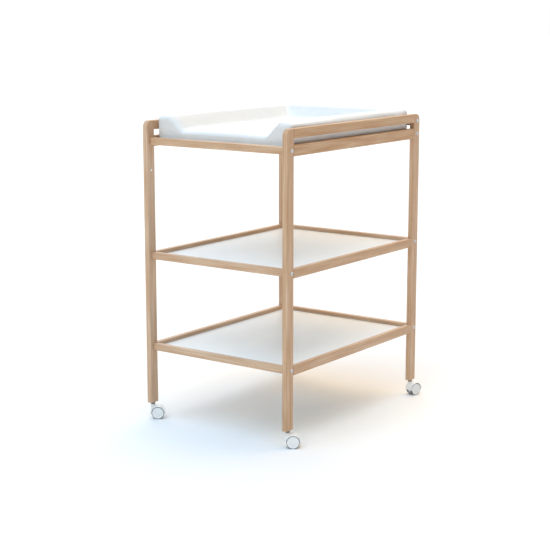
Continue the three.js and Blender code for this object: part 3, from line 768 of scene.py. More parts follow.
@dataclass
class WoodenFrame:
    """Four posts, the side rails tenoned into them, and the cross rails screwed between them."""

    palette: Palette
    body: str = "frame"
    post_ease: float = 2.5 * MM
    post_corner: float = 20 * MM
    foot_ease: float = 0.9 * MM
    side_ease: float = 2.6 * MM
    cross_ease: float = 4.4 * MM
    end_ease: float = 0.4 * MM
    ease_steps: int = 5
    corner_steps: int = 14
    fit: float = 0.3 * MM
    hole: float = 3.3 * MM
    socket: float = 4.3 * MM
    socket_room: float = 1.0 * MM
    tenon: float = 8 * MM
    shoulder: float = 5 * MM
    groove: float = 6 * MM
    screw_room: float = 2 * MM
    overcut: float = 1 * MM
    tones: Pair = (-0.6, 0.8)
    # Painted shade: the upper and tray side rails, which the mat shades, get this darker and redder tone
    # over the whole board.
    painted_shade_tone: float = -1.6
    boards_with_painted_shade: Sequence[str] = ("side_rail_upper", "side_rail_tray")

    def build(self) -> None:
        """Makes every board of the frame."""
        for name in frame["nodes"]:
            if name.startswith("post_"):
                self.build_post(name)
            elif name.startswith("side_rail_"):
                self.build_side_rail(name)
            elif name.startswith("cross_rail_"):
                self.build_cross_rail(name)

    def build_post(self, name: str) -> None:
        """One post, with its mortises, its screw holes and the socket for its castor.

        Args:
            name: the post's node.
        """
        low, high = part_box(name)
        end = End.BACK if low.y > 0 else End.FRONT
        small = self.foot_ease
        tops = (self.post_corner, small) if end is End.BACK else (small, self.post_corner)
        radii = (small, small, *tops)
        outline = RoundedRectangle((low.y, high.y), (low.z, high.z), radii, self.corner_steps)
        span = (low.x, high.x)
        post = link(name, eased_slab(outline.points, Axis.X, span, self.post_ease, self.ease_steps))
        tools = [(Cut.REMOVE, shape) for shape in self._mortises(low, high)]
        reach = (low.x - self.overcut, high.x + self.overcut)
        tools += [(Cut.REMOVE, shape) for shape in self._screw_holes(low, high, *reach)]
        stem_low, stem_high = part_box(f"castor_{name.removeprefix('post_')}_stem")
        middle = (stem_low + stem_high) / 2
        start = (middle.x, middle.y, low.z - self.overcut)
        depth = stem_high.z - low.z + self.overcut + self.socket_room
        tools.append((Cut.REMOVE, bore(self.socket, Axis.Z, start, depth)))
        combine(post, tools)
        self._dress(post, Axis.Z, name)

    def build_side_rail(self, name: str) -> None:
        """One side rail: eased edges, a stub tenon at each end, and a groove if it holds a panel.

        Args:
            name: the rail's node.
        """
        low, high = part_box(name)
        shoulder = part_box("post_back_left")[0].y - self.fit
        ease = (self.side_ease,) * 4
        outline = RoundedRectangle((low.x, high.x), (low.z, high.z), ease)
        rail = link(name, eased_slab(outline.points, Axis.Y, (-shoulder, shoulder), self.end_ease, 2))
        middle = (low.x + high.x) / 2
        cheeks = (middle - self.tenon / 2, middle + self.tenon / 2)
        tools = [(Cut.JOIN, block((cheeks[0], low.y, low.z + self.shoulder),
                                  (cheeks[1], high.y, high.z - self.shoulder)))]
        inner = low.x if middle > 0 else high.x
        outwards = math.copysign(1.0, middle)
        mouth = sorted((inner - outwards * self.overcut, inner + outwards * self.groove))
        reach = high.y + self.overcut
        for panel_low, panel_high in self._panels_at(low.z, high.z):
            tools.append((Cut.REMOVE, block((mouth[0], -reach, panel_low - self.fit),
                                            (mouth[1], reach, panel_high + self.fit))))
        combine(rail, tools)
        self._dress(rail, Axis.Y, name)

    def build_cross_rail(self, name: str) -> None:
        """One cross rail: well-rounded edges, a screw hole in each end, a groove for a panel.

        Args:
            name: the rail's node.
        """
        low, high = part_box(name)
        outline = RoundedRectangle((low.y, high.y), (low.z, high.z), (self.cross_ease,) * 4)
        rail = link(name, eased_slab(outline.points, Axis.X, (low.x, high.x), self.end_ease, 2))
        tools = []
        end = End.BACK if low.y > 0 else End.FRONT
        inner = low.y if end is End.BACK else high.y
        mouth = sorted((inner - end.value * self.overcut, inner + end.value * self.groove))
        for panel_low, panel_high in self._panels_at(low.z, high.z):
            tools.append((Cut.REMOVE, block((low.x - self.overcut, mouth[0], panel_low - self.fit),
                                            (high.x + self.overcut, mouth[1], panel_high + self.fit))))
        short = name.removeprefix("cross_rail_")
        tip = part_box(f"screw_{short}_right")[0].x - self.screw_room
        middle = (low + high) / 2
        length = high.x + self.overcut - tip
        for start in (low.x - self.overcut, tip):
            tools.append((Cut.REMOVE, bore(self.hole, Axis.X, (start, middle.y, middle.z), length)))
        combine(rail, tools)
        self._dress(rail, Axis.X, name)

    def _mortises(self, low: Vector, high: Vector) -> list[Shape]:
        """Pockets in a post for the tenons of the side rails that meet it."""
        side = "right" if low.x > 0 else "left"
        inner = min(abs(low.y), abs(high.y))
        towards = 1 if low.y > 0 else -1
        middle = (low.x + high.x) / 2
        half = self.tenon / 2 + self.fit
        shapes = []
        for level in ("upper", "tray", "mid", "low"):
            rail_low, rail_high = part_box(f"side_rail_{level}_{side}")
            deep = sorted((towards * (inner - self.overcut), towards * (rail_high.y + self.fit)))
            shapes.append(block((middle - half, deep[0], rail_low.z + self.shoulder - self.fit),
                                (middle + half, deep[1], rail_high.z - self.shoulder + self.fit)))
        return shapes

    def _screw_holes(self, low: Vector, high: Vector, start: float, stop: float) -> list[Shape]:
        """Holes through a post for the screws that cross it."""
        side = Side.RIGHT if low.x > 0 else Side.LEFT
        shapes = []
        for name in frame["nodes"]:
            if name.startswith("screw_") and name.endswith(side.name.lower()):
                screw_low, screw_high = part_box(name)
                middle = (screw_low + screw_high) / 2
                if low.y < middle.y < high.y:
                    shapes.append(bore(self.hole, Axis.X, (start, middle.y, middle.z), stop - start))
        return shapes

    @staticmethod
    def _panels_at(low: float, high: float) -> list[Pair]:
        """Undersides and tops of the panels that lie between two heights."""
        boxes = [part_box(name) for name in frame["nodes"] if name.endswith("_panel")]
        return [(a.z, b.z) for a, b in boxes if low < a.z and b.z < high]

    def _dress(self, board: Object, along: Axis, node: str) -> None:
        """Lays the grain, shades the board and hands it in."""
        draw = random.Random(f"tone of {node}")
        # The boards that the mat shades take the darker tone as painted shade.
        dark = node.startswith(tuple(self.boards_with_painted_shade))
        lay_grain(board, along, self.painted_shade_tone if dark else draw.uniform(*self.tones))
        crisp(board)
        recentre(board)
        hand_in(board, self.palette.beech, self.body, "beech", node)


def lay_grain(board: Object, along: Axis, tone: float) -> None:
    """Stores a board's own coordinates, tone and end grain, so that no two boards match; the very low tone
    of the boards by the mat is painted shade.

    Args:
        board: the board, in the table's frame.
        along: the way its grain runs.
        tone: below 0 for a darker and redder board, above 0 for a paler one.
    """
    mesh = board.data
    draw = random.Random(board.name)
    shift = (draw.uniform(0, 6), draw.uniform(-0.04, 0.04), draw.uniform(0.05, 0.12))
    order = list(along.board_order())
    grain = points_of(mesh)[:, order] + np.array(shift)
    mesh.attributes.new("grain", "FLOAT_VECTOR", "POINT").data.foreach_set(
        "vector", grain.astype(np.float32).ravel())
    tones = np.full(len(mesh.vertices), tone, np.float32)
    mesh.attributes.new("tone", "FLOAT", "POINT").data.foreach_set("value", tones)
    ends = [1.0 if abs(face.normal[along.value]) > 0.7 else 0.0 for face in mesh.polygons]
    mesh.attributes.new("end_grain", "FLOAT", "FACE").data.foreach_set("value", ends)


@dataclass
class Shelving:
    """The two shelf panels and the floor of the tray, each notched round the posts."""

    palette: Palette
    body: str = "frame"
    ease: float = 0.35 * MM
    notch_room: float = 0.5 * MM

    def build(self) -> None:
        """Makes the three panels."""
        for name in frame["nodes"]:
            if name.endswith("_panel"):
                self.build_panel(name)

    def build_panel(self, name: str) -> None:
        """One panel, with its corners cut away round the posts.

        Args:
            name: the panel's node.
        """
        low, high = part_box(name)
        outline = RoundedRectangle((low.x, high.x), (low.y, high.y), (0.0,) * 4, 1)
        panel = link(name, eased_slab(outline.points, Axis.Z, (low.z, high.z), self.ease, 3))
        tools = []
        for post in ("front_left", "front_right", "back_left", "back_right"):
            post_low, post_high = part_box(f"post_{post}")
            room = self.notch_room
            start = (post_low.x - room, post_low.y - room, low.z - room)
            stop = (post_high.x + room, post_high.y + room, high.z + room)
            tools.append((Cut.REMOVE, block(start, stop)))
        combine(panel, tools)
        crisp(panel)
        recentre(panel)
        hand_in(panel, self.palette.board, self.body, "white_board", name)


@dataclass
class ConnectingScrews:
    """Button-head screws with a hexagon socket, through the posts into the cross rails."""

    palette: Palette
    body: str = "frame"
    shank: float = 3 * MM
    head: float = 6 * MM
    head_height: float = 2.4 * MM
    head_side: float = 0.7 * MM
    socket: float = 4 * MM
    socket_depth: float = 1.6 * MM
    flat: float = 3.3 * MM
    thread_pitch: float = 1.6 * MM
    thread_depth: float = 0.35 * MM
    neck: float = 10 * MM
    unthreaded: float = 14 * MM
    point: float = 2.5 * MM
    sides: int = 48

    def build(self) -> None:
        """Makes one screw and drives a copy into each hole."""
        mesh = None
        for name in [n for n in frame["nodes"] if n.startswith("screw_")]:
            low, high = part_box(name)
            side = Side.RIGHT if low.x > 0 else Side.LEFT
            length = high.x - low.x - self.head_height
            if mesh is None:
                screw = link(name, self._shape(length))
                mesh = screw.data
            else:
                screw = bpy.data.objects.new(name, mesh)
                bpy.context.scene.collection.objects.link(screw)
            crisp(screw, 40)
            middle = (low + high) / 2
            outer = high.x if side is Side.RIGHT else low.x
            turn = Matrix.Rotation(side.value * math.pi / 2, 4, "Y")
            spin = Matrix.Rotation(random.Random(name).uniform(0, math.tau), 4, "Z")
            place = Matrix.Translation((outer, middle.y, middle.z))
            screw.matrix_world = place @ turn @ spin @ Matrix.Translation((0, 0, -self.head_height))
            hand_in(screw, self.palette.steel, self.body, "steel", name)

    def _shape(self, length: float) -> Shape:
        """The screw along Z, the underside of its head at 0 and its tip at minus its length."""
        h, side = self.head_height, self.head_side
        dome = [(self.flat + (self.head - self.flat) * math.sin(a), side + (h - side) * math.cos(a))
                for a in (math.pi / 2 * i / 6 for i in range(7))]
        hole = hexagon(self.socket)
        profile: list[tuple[Radius, float]] = [
            (0.0, h - self.socket_depth - 0.3 * MM), (hole, h - self.socket_depth), (hole, h - 0.15 * MM),
            (hexagon(self.socket + 0.4 * MM), h), *dome, (self.head, 0.15 * MM),
            (self.head - 0.15 * MM, 0.0), (self.shank, 0.0)]
        turns = int((length - self.unthreaded) / self.thread_pitch)
        for i in range(turns):
            top = -self.neck - i * self.thread_pitch
            profile += [(self.shank, top), (self.shank - self.thread_depth, top - self.thread_pitch / 2)]
        profile += [(self.shank, -length + self.point), (self.shank * 0.4, -length), (0.0, -length)]
        return revolve(profile, self.sides)


@dataclass
class HolePlugs:
    """Small white caps over the spare holes on the inner faces of the front posts."""

    palette: Palette
    body: str = "frame"
    height: float = 797 * MM
    radius: float = 3.6 * MM
    proud: float = 1.0 * MM

    def build(self) -> None:
        """Makes a cap for each front post."""
        for side in Side:
            node = f"post_front_{side.name.lower()}"
            low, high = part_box(node)
            dome = arc((self.radius - self.proud, 0.0), self.proud, 0.0, math.pi / 2, 4)
            shape = revolve([(0.0, -0.1 * MM), (self.radius, -0.1 * MM), *dome, (0.0, self.proud)], 32)
            cap = link(f"hole_plug_{side.name.lower()}", shape)
            crisp(cap)
            inner = low.x if side is Side.RIGHT else high.x
            turn = Matrix.Rotation(-side.value * math.pi / 2, 4, "Y")
            cap.matrix_world = Matrix.Translation((inner, (low.y + high.y) / 2, self.height)) @ turn
            hand_in(cap, self.palette.nylon, self.body, "castor_white")


# ---- Mat --------------------------------------------------------------------------------------


@dataclass
class ChangingMat:
    """A foam mat with raised sides and back, in a welded cover that the foam swells."""

    palette: Palette
    body: str = "mat"
    voxel: float = 6.2 * MM
    rounding: int = 3
    fullness: float = 3.4 * MM
    pressure: float = 4.0
    slack: float = -0.008
    frames: int = 20
    quality: int = 5
    mass: float = 0.3
    stretch_stiffness: float = 15
    bending_stiffness: float = 0.5
    most_swell: float = 5 * MM
    held_height: float = 1.5 * MM
    side_room: float = 0.8 * MM
    back_room: float = 3 * MM
    front_swell: float = 3 * MM
    rise: float = 3 * MM
    limit_blend: float = 3 * MM
    crease_height: float = 1.1 * MM
    crease_rate: Sequence[float] = (21, 17, 40)
    warp_rate: float = 9
    warp: float = 0.8
    foam_inset: float = 1.6 * MM
    seam_radius: float = 1.0 * MM
    seam_back: float = 4.5 * MM
    low: Vector = field(init=False)
    high: Vector = field(init=False)

    def build(self) -> None:
        """Makes the cover, the foam in it, and the weld round its front panel."""
        self.low, self.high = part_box("mat_cover")
        cover = self._blank("mat_cover_skin")
        self._swell(cover)
        self._crease(cover)
        smooth = cover.modifiers.new("finer", "SUBSURF")
        smooth.levels = smooth.render_levels = 1
        apply_modifiers(cover)
        self._lay_flat(cover)
        seam = self._weld(cover)
        foam = self._foam(cover)
        for piece in (cover, foam):
            piece.data.polygons.foreach_set("use_smooth", [True] * len(piece.data.polygons))
            recentre(piece)
        hand_in(cover, self.palette.cover, self.body, "mat_cover", "mat_cover")
        hand_in(foam, self.palette.foam, self.body, "mat_foam", "mat_core")
        hand_in(seam, self.palette.cover, self.body, "mat_cover")

    def _blank(self, name: str) -> Object:
        """The core's shape as an even net of quads, with rounded corners, moved out to the cover."""
        core = frame["nodes"]["mat_core"]
        blank = bpy.data.objects.new(name, core.data.copy())
        bpy.context.scene.collection.objects.link(blank)
        net = blank.modifiers.new("net", "REMESH")
        net.mode = "VOXEL"
        net.voxel_size = self.voxel
        soft = blank.modifiers.new("soft", "SMOOTH")
        soft.factor = 0.5
        soft.iterations = self.rounding
        apply_modifiers(blank)
        normals = np.array([vertex.normal for vertex in blank.data.vertices])
        points = points_of(blank.data) + normals * self.fullness
        set_points(blank.data, self._kept_in(points))
        return blank

    def _swell(self, cover: Object) -> None:
        """Blows the cover up from inside, as foam does, and caps how far a point moves."""
        before = points_of(cover.data)
        group = cover.vertex_groups.new(name="held")
        held = np.nonzero(before[:, 2] < self.low.z + self.held_height)[0]
        group.add(held.tolist(), 1.0, "REPLACE")
        cloth = cover.modifiers.new("swell", "CLOTH")
        cloth.settings.quality = self.quality
        cloth.settings.mass = self.mass
        cloth.settings.tension_stiffness = self.stretch_stiffness
        cloth.settings.compression_stiffness = self.stretch_stiffness
        cloth.settings.bending_stiffness = self.bending_stiffness
        cloth.settings.use_pressure = True
        cloth.settings.uniform_pressure_force = self.pressure
        cloth.settings.effector_weights.gravity = 0
        cloth.settings.vertex_group_mass = "held"
        cloth.settings.shrink_min = self.slack
        cloth.collision_settings.use_collision = False
        scene = bpy.context.scene
        for number in range(1, self.frames + 1):
            scene.frame_set(number)
        after = points_of(settled(cover))
        cover.modifiers.clear()
        cover.vertex_groups.clear()
        scene.frame_set(1)
        move = after - before
        length = np.linalg.norm(move, axis=1, keepdims=True)
        share = self.most_swell * np.tanh(length / self.most_swell) / np.maximum(length, 1e-9)
        log.info("mat swells %.1f mm at most", float(length.max() / MM))
        set_points(cover.data, self._kept_in(before + move * share))
        soft = cover.modifiers.new("soft", "SMOOTH")
        soft.factor = 0.4
        soft.iterations = 2
        apply_modifiers(cover)

    def _kept_in(self, points: np.ndarray) -> np.ndarray:
        """Points held inside the room that the tray leaves the mat."""
        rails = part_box("side_rail_tray_right")[0].x - self.side_room
        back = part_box("cross_rail_tray_back")[0].y - self.back_room
        x, y, z = points.T
        return np.stack([
            soft_limit(x, -rails, rails, self.limit_blend),
            soft_limit(y, self.low.y - self.front_swell, back, self.limit_blend),
            np.clip(z, self.low.z, self.high.z + self.rise)], axis=1)

    def _crease(self, cover: Object) -> None:
        """Shallow creases, deepest near the ends of the front panel and the corners."""
        mesh = cover.data
        normals = np.array([vertex.normal for vertex in mesh.vertices])
        points = points_of(mesh)
        heights = np.empty(len(points))
        wide, long, tall = self.crease_rate
        for i, (x, y, z) in enumerate(points):
            spot = Vector((x * wide, y * long, z * tall))
            slow = Vector((x * self.warp_rate, y * self.warp_rate, z * self.warp_rate + 4.2))
            drift = Vector((noise.noise(slow), noise.noise(slow.yzx), 0.0))
            fold = noise.noise(spot + self.warp * drift)
            heights[i] = 1.0 - 2.0 * abs(fold) ** 0.8
        ends = np.exp(-((points[:, 1] - self.low.y) / 0.06) ** 2)
        sides = np.clip((np.abs(points[:, 0]) - 0.13) / 0.08, 0, 1)
        weight = 0.25 + 0.75 * ends * sides
        above = np.clip((points[:, 2] - self.low.z - 5 * MM) / 0.02, 0, 1)
        set_points(mesh, points + normals * (heights * weight * above * self.crease_height)[:, None])

    def _lay_flat(self, cover: Object) -> None:
        """Flattens the underside where the mat rests on the tray's floor."""
        points = points_of(cover.data)
        points[:, 2] = np.maximum(points[:, 2], self.low.z)
        near = points[:, 2] < self.low.z + 1.2 * MM
        points[near, 2] = self.low.z
        set_points(cover.data, points)

    def _foam(self, cover: Object) -> Object:
        """The foam core: the cover's shape with fewer faces, moved inwards."""
        foam = bpy.data.objects.new("mat_foam_core", cover.data.copy())
        bpy.context.scene.collection.objects.link(foam)
        few = foam.modifiers.new("fewer", "DECIMATE")
        few.ratio = 0.3
        apply_modifiers(foam)
        normals = np.array([vertex.normal for vertex in foam.data.vertices])
        set_points(foam.data, points_of(foam.data) - normals * self.foam_inset)
        return foam

    def _weld(self, cover: Object) -> Object:
        """The weld bead that joins the front panel to the rest of the cover."""
        shape = bmesh.new()
        shape.from_mesh(cover.data)
        place = (0.0, self.low.y + self.seam_back, 0.0)
        everything = list(shape.verts) + list(shape.edges) + list(shape.faces)
        cut = bmesh.ops.bisect_plane(shape, geom=everything, plane_co=place, plane_no=(0, 1, 0))
        edges = [item for item in cut["geom_cut"] if isinstance(item, bmesh.types.BMEdge)]
        loop = longest_chain(edges)
        shape.free()
        curve = bpy.data.curves.new("mat_front_weld", "CURVE")
        curve.dimensions = "3D"
        curve.bevel_depth = self.seam_radius
        curve.bevel_resolution = 3
        line = curve.splines.new("POLY")
        line.points.add(len(loop) - 1)
        for point, spot in zip(line.points, loop):
            point.co = (*spot, 1.0)
        line.use_cyclic_u = True
        weld = bpy.data.objects.new("mat_front_weld", curve)
        bpy.context.scene.collection.objects.link(weld)
        return weld


def soft_limit(values: np.ndarray, low: float, high: float, blend: float) -> np.ndarray:
    """Values eased to a stop at two limits.

    Args:
        values: the values to hold.
        low: the lower limit.
        high: the upper limit.
        blend: how far before a limit the easing starts.

    Returns:
        The held values.
    """
    over = np.maximum(values - (high - blend), 0)
    values = np.where(over > 0, high - blend + blend * np.tanh(over / blend), values)
    under = np.maximum((low + blend) - values, 0)
    return np.where(under > 0, low + blend - blend * np.tanh(under / blend), values)


def longest_chain(edges: Sequence[bmesh.types.BMEdge]) -> list[Vector]:
    """Orders loose edges into chains and keeps the longest.

    Args:
        edges: edges in any order.

    Returns:
        The longest chain's points, in order.
    """
    left = dict.fromkeys(edges)
    best: list[Vector] = []
    while left:
        edge, _ = left.popitem()
        first, tip = edge.verts
        chain = [first.co.copy(), tip.co.copy()]
        while following := next((e for e in tip.link_edges if e in left), None):
            del left[following]
            tip = following.other_vert(tip)
            chain.append(tip.co.copy())
        if len(chain) > len(best):
            best = chain
    return best[:-1]


# ---- Castors ----------------------------------------------------------------------------------


@dataclass
class Castor:
    """A twin-wheel castor, drawn about its swivel axis with its wheels trailing along +X."""

    palette: Palette
    post: str
    meshes: dict[str, bpy.types.Mesh]
    tread: float = 1.6 * MM
    fender_room: float = 0.8 * MM
    fender_ease: float = 1.3 * MM
    skirt: float = 2 * MM
    boss: float = 7.5 * MM
    boss_rise: float = 6 * MM
    hub: float = 12.4 * MM
    axle: float = 2 * MM
    fit: float = 0.3 * MM
    pivot: float = 3 * MM
    pivot_room: float = 1 * MM
    collar: float = 5 * MM
    pin: float = 4 * MM
    lip: float = 2 * MM
    ring: Pair = (9.3 * MM, 10.4 * MM)
    cap: float = 8 * MM
    cap_rise: float = 1.4 * MM
    sides: int = 96
    name: str = field(init=False)
    place: Matrix = field(init=False)
    trail: float = field(init=False)
    wheel_radius: float = field(init=False)

    def build(self) -> None:
        """Makes the castor's pieces, or places copies of the first castor's."""
        self.name = f"castor_{self.post}"
        joints = {joint["name"]: joint for joint in frame["joints"]}
        swivel = Vector(joints[f"swivel_{self.post}"]["pos_m"])
        wheel = Vector(joints[f"spin_{self.post}_a"]["pos_m"])
        heading = math.atan2(wheel.y - swivel.y, wheel.x - swivel.x)
        self.place = Matrix.Translation((swivel.x, swivel.y, 0)) @ Matrix.Rotation(heading, 4, "Z")
        self.trail = math.hypot(wheel.x - swivel.x, wheel.y - swivel.y)
        self.wheel_radius = wheel.z
        self._add("hood", self._hood, self.palette.nylon, self.name, "castor_white", "hood")
        self._add("stem", self._stem, self.palette.dark_steel, "frame", "steel", "stem")
        pin = self._wheel_place(Side.RIGHT, self._extent("axle", 1)[0])
        self._add("axle", self._axle, self.palette.steel, self.name, "steel", "axle", pin)
        for letter, side in (("a", Side.LEFT), ("b", Side.RIGHT)):
            near = min(abs(value) for value in self._extent(f"wheel_{letter}", 1))
            place = self._wheel_place(side, near)
            body = f"{self.name}_wheel_{letter}"
            self._add(f"wheel_{letter}", self._disc, self.palette.nylon, body, "castor_wheel",
                      f"wheel_{letter}", place)
            self._add(f"tread_{letter}", self._tread, self.palette.tread, body, "castor_wheel",
                      None, place)

    def _add(
        self, piece: str, shape: Callable[[], Shape], material: Material, body: str, slot: str,
        node: str | None, place: Matrix | None = None,
    ) -> None:
        """Places one piece of the castor; its mesh is made once for all four.

        Args:
            piece: the piece's short name.
            shape: makes the mesh.
            material: its finish.
            body: the body it rides on.
            slot: the record's slot.
            node: short name of the CAD node that it stands for.
            place: its place within the castor.
        """
        name = f"{self.name}_{piece}"
        kind = piece.removesuffix("_a").removesuffix("_b")
        if kind not in self.meshes:
            made = link(name, shape())
            if kind == "hood":
                combine(made, self._hood_cuts())
            self.meshes[kind] = made.data
            bpy.data.objects.remove(made)
        copy = bpy.data.objects.new(name, self.meshes[kind])
        bpy.context.scene.collection.objects.link(copy)
        crisp(copy, 30)
        copy.matrix_world = self.place @ (place or Matrix.Identity(4))
        nodes = (f"{self.name}_{node}",) if node else ()
        hand_in(copy, material, body, slot, *nodes)

    def _extent(self, node: str, axis: int) -> Pair:
        """Lowest and highest place of a node along one of the castor's own axes."""
        mesh = frame["nodes"][f"{self.name}_{node}"].data
        back = self.place.inverted()
        values = [(back @ vertex.co)[axis] for vertex in mesh.vertices]
        return min(values), max(values)

    def _wheel_place(self, side: Side, inner: float) -> Matrix:
        """Lays a piece turned about Z along the axle, facing out on one side."""
        turn = Matrix.Rotation(-side.value * math.pi / 2, 4, "X")
        return Matrix.Translation((self.trail, side.value * inner, self.wheel_radius)) @ turn

    def _wheel_width(self) -> float:
        """Width of one wheel."""
        low, high = self._extent("wheel_a", 1)
        return high - low

    def _disc(self) -> Shape:
        """A wheel's hard disc: rim lip, shallow dish and a domed hub cap."""
        w, rim = self._wheel_width(), self.wheel_radius - self.tread - 0.1 * MM
        face, dish, soft = w - 0.6 * MM, w - 1.9 * MM, 0.5 * MM
        inner, outer = self.ring
        hole = self.axle + self.fit
        depth = w - 2.5 * MM + self.fit
        cap = [(self.cap * math.sin(a), w - self.cap_rise + self.cap_rise * math.cos(a))
               for a in (math.pi / 2 * (1 - i / 8) for i in range(9))]
        profile = [(0.0, depth), (hole, depth), (hole, 0.3 * MM), (hole + 0.3 * MM, 0.0),
                   (rim - 0.4 * MM, 0.0), (rim, 0.4 * MM), (rim, face - soft),
                   *arc((rim - soft, face - soft), soft, 0.0, math.pi / 2, 3),
                   (rim - self.lip, face), (rim - self.lip - 0.4 * MM, dish + 0.3 * MM),
                   (rim - self.lip - 0.9 * MM, dish), (outer + 0.7 * MM, dish),
                   (outer + 0.3 * MM, dish + 0.3 * MM), (outer, face), (inner, face),
                   (inner - 0.3 * MM, dish), (self.cap + 0.1 * MM, dish), *cap]
        return revolve(profile, self.sides)

    def _tread(self) -> Shape:
        """A wheel's soft tyre, with rounded shoulders."""
        w, out = self._wheel_width(), self.wheel_radius
        seat = out - self.tread
        low, high, soft = 0.5 * MM, w - 1.0 * MM, 1.5 * MM
        profile = [(seat, low), *arc((out - soft, low + soft), soft, -math.pi / 2, 0.0, 6),
                   *arc((out - soft, high - soft), soft, 0.0, math.pi / 2, 6), (seat, high)]
        return revolve(profile, self.sides, closed=True)

    def _axle(self) -> Shape:
        """The pin that both wheels turn on."""
        low, high = self._extent("axle", 1)
        length, r, soft = high - low, self.axle, 0.4 * MM
        return revolve([(0.0, 0.0), (r - soft, 0.0), (r, soft), (r, length - soft),
                        (r - soft, length), (0.0, length)], 32)

    def _stem(self) -> Shape:
        """The stem: pin in the post with a grip ring, collar under it, pivot in the hood."""
        low, high = self._extent("stem", 2)
        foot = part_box(f"post_{self.post}")[0].z - self.fit
        wide = self._extent("stem", 0)[1]
        soft = 0.5 * MM
        under, neck = foot - self.collar, self.pin - 0.3 * MM
        return revolve([
            (0.0, low), (self.pivot - soft, low), (self.pivot, low + soft), (self.pivot, under),
            (wide - soft, under), *arc((wide - soft, under + soft), soft, -math.pi / 2, 0.0, 3),
            *arc((wide - soft, foot - soft), soft, 0.0, math.pi / 2, 3),
            (neck, foot), (neck, high - 14 * MM), (self.pin, high - 13 * MM),
            (self.pin, high - 7 * MM), (neck, high - 6 * MM),
            (neck, high - 1 * MM), (neck - 1 * MM, high), (0.0, high)], 48)

    def _hood(self) -> Shape:
        """The hood's blank: the fender's half disc, as wide as both wheels."""
        low, high = self._extent("hood", 1)
        radius = self._extent("hood", 0)[1] - self.trail
        outline = HalfDisc((self.trail, self.wheel_radius), radius, self.skirt)
        return eased_slab(outline.points, Axis.Y, (low, high), self.fender_ease, 5)

    def _hood_cuts(self) -> list[tuple[Cut, Shape]]:
        """What turns the blank into a hood: stem boss, wheel wells, hub, and the two holes."""
        top = self._extent("hood", 2)[1]
        web = min(abs(v) for v in self._extent("wheel_b", 1)) - 0.5 * MM
        wide = self._extent("hood", 1)[1]
        soft = 1.0 * MM
        foot = self.wheel_radius + self.boss_rise
        rim = arc((self.boss - soft, top - soft), soft, 0.0, math.pi / 2, 4)
        boss = revolve([(0.0, foot), (self.boss, foot), *rim, (0.0, top)], 64)
        well = self.wheel_radius + self.fender_room
        centre = (self.trail, self.wheel_radius)
        wells = [bore(well, Axis.Y, (centre[0], start, centre[1]), wide, self.sides)
                 for start in (web, -web - wide)]
        hub = bore(self.hub, Axis.Y, (centre[0], -web, centre[1]), 2 * web, 64)
        axle = bore(self.axle + self.fit, Axis.Y, (centre[0], -2 * web, centre[1]), 4 * web)
        start = self._extent("stem", 2)[0] - self.pivot_room
        pivot = bore(self.pivot + self.fit, Axis.Z, (0.0, 0.0, start), top)
        return [(Cut.JOIN, boss), *((Cut.REMOVE, shape) for shape in wells), (Cut.JOIN, hub),
                (Cut.REMOVE, axle), (Cut.REMOVE, pivot)]


# ---- Studio -----------------------------------------------------------------------------------


@dataclass(frozen=True)
class Sun:
    """A far soft light that shines evenly over the whole floor."""

    name: str
    azimuth: float
    elevation: float
    strength: float
    spread: float
    colour: str

    def build(self) -> None:
        """Adds the light. Azimuth 0 stands at -Y and 90 at +X, as seen from the table."""
        light = bpy.data.lights.new(self.name, "SUN")
        light.energy = self.strength
        light.angle = math.radians(self.spread)
        light.color = linear(self.colour)[:3]
        lamp = bpy.data.objects.new(self.name, light)
        bpy.context.scene.collection.objects.link(lamp)
        a, e = math.radians(self.azimuth), math.radians(self.elevation)
        back = Vector((math.sin(a) * math.cos(e), -math.cos(a) * math.cos(e), math.sin(e)))
        lamp.rotation_mode = "QUATERNION"
        lamp.rotation_quaternion = back.to_track_quat("Z", "Y")


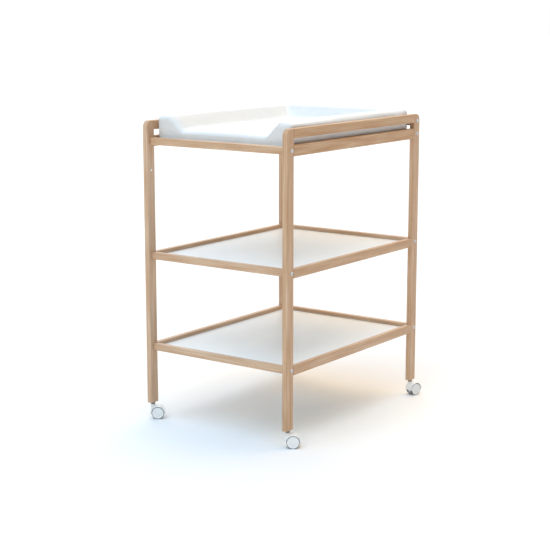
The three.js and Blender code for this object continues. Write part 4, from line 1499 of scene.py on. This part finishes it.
@dataclass
class Studio:
    """A pale floor, soft light from two sides and above, and the camera."""

    palette: Palette
    suns: Sequence[Sun] = (
        Sun("cool_top", 0, 70, 1.65, 60, "#ABD7FF"),
        Sun("front", 0, 38, 0.82, 60, "#FFFBE3"),
        Sun("warm_back", 165, 55, 1.10, 55, "#FFCF73"),
        Sun("left_back", -135, 45, 0.95, 55, "#FFFCFC"),
        Sun("top_right", 90, 76, 0.75, 60, "#F8FAFF"),
    )
    ambient: float = 0.05
    reflected: float = 0.85
    floor_radius: float = 60.0
    camera_place: tuple[float, float, float] = (2.5704, -3.6200, 1.2903)
    camera_pitch: float = 10.844
    camera_turn: float = 35.812
    camera_lens: float = 91.33

    def build(self) -> None:
        """Sets up the floor, the lights and the camera."""
        self._floor()
        for sun in self.suns:
            sun.build()
        self._sky()
        self._camera()
        settings = bpy.context.scene.view_settings
        settings.view_transform = "Standard"
        settings.look = "None"

    def _floor(self) -> None:
        """A round floor that reaches past the horizon."""
        shape = bmesh.new()
        bmesh.ops.create_circle(shape, cap_ends=True, radius=self.floor_radius, segments=96)
        floor = link("studio_floor", shape)
        floor.data.materials.append(self.palette.floor)

    def _sky(self) -> None:
        """A white room: bright where it is seen or mirrored, gentle as a light."""
        world = bpy.data.worlds.new("white_room")
        world.use_nodes = True
        bpy.context.scene.world = world
        tree = world.node_tree
        ray = add_node(tree, "LightPath")
        mirrored = add_node(tree, "MapRange", {"Value": ray.outputs["Is Glossy Ray"],
                                               "To Min": self.ambient, "To Max": self.reflected})
        strength = add_node(tree, "MapRange", {"Value": ray.outputs["Is Camera Ray"],
                                               "To Min": mirrored.outputs["Result"], "To Max": 1.0})
        background = tree.nodes["Background"]
        background.inputs["Color"].default_value = (1.0, 1.0, 1.0, 1.0)
        tree.links.new(strength.outputs["Result"], background.inputs["Strength"])

    def _camera(self) -> None:
        """The camera, level, a little above the table's top."""
        data = bpy.data.cameras.new("camera")
        data.lens = self.camera_lens
        data.sensor_width = 36.0
        camera = bpy.data.objects.new("camera", data)
        bpy.context.scene.collection.objects.link(camera)
        camera.location = self.camera_place
        camera.rotation_euler = (math.radians(90 - self.camera_pitch), 0.0, math.radians(self.camera_turn))
        bpy.context.scene.camera = camera


def main() -> None:
    """Builds the studio and the table, piece by piece."""
    logging.basicConfig(level=logging.INFO, format="%(name)s: %(message)s")
    palette = Palette()
    Studio(palette).build()
    WoodenFrame(palette).build()
    Shelving(palette).build()
    ConnectingScrews(palette).build()
    HolePlugs(palette).build()
    meshes: dict[str, bpy.types.Mesh] = {}
    for post in ("front_left", "front_right", "back_right", "back_left"):
        Castor(palette, post, meshes).build()
    ChangingMat(palette).build()


if __name__ == "__main__":
    main()
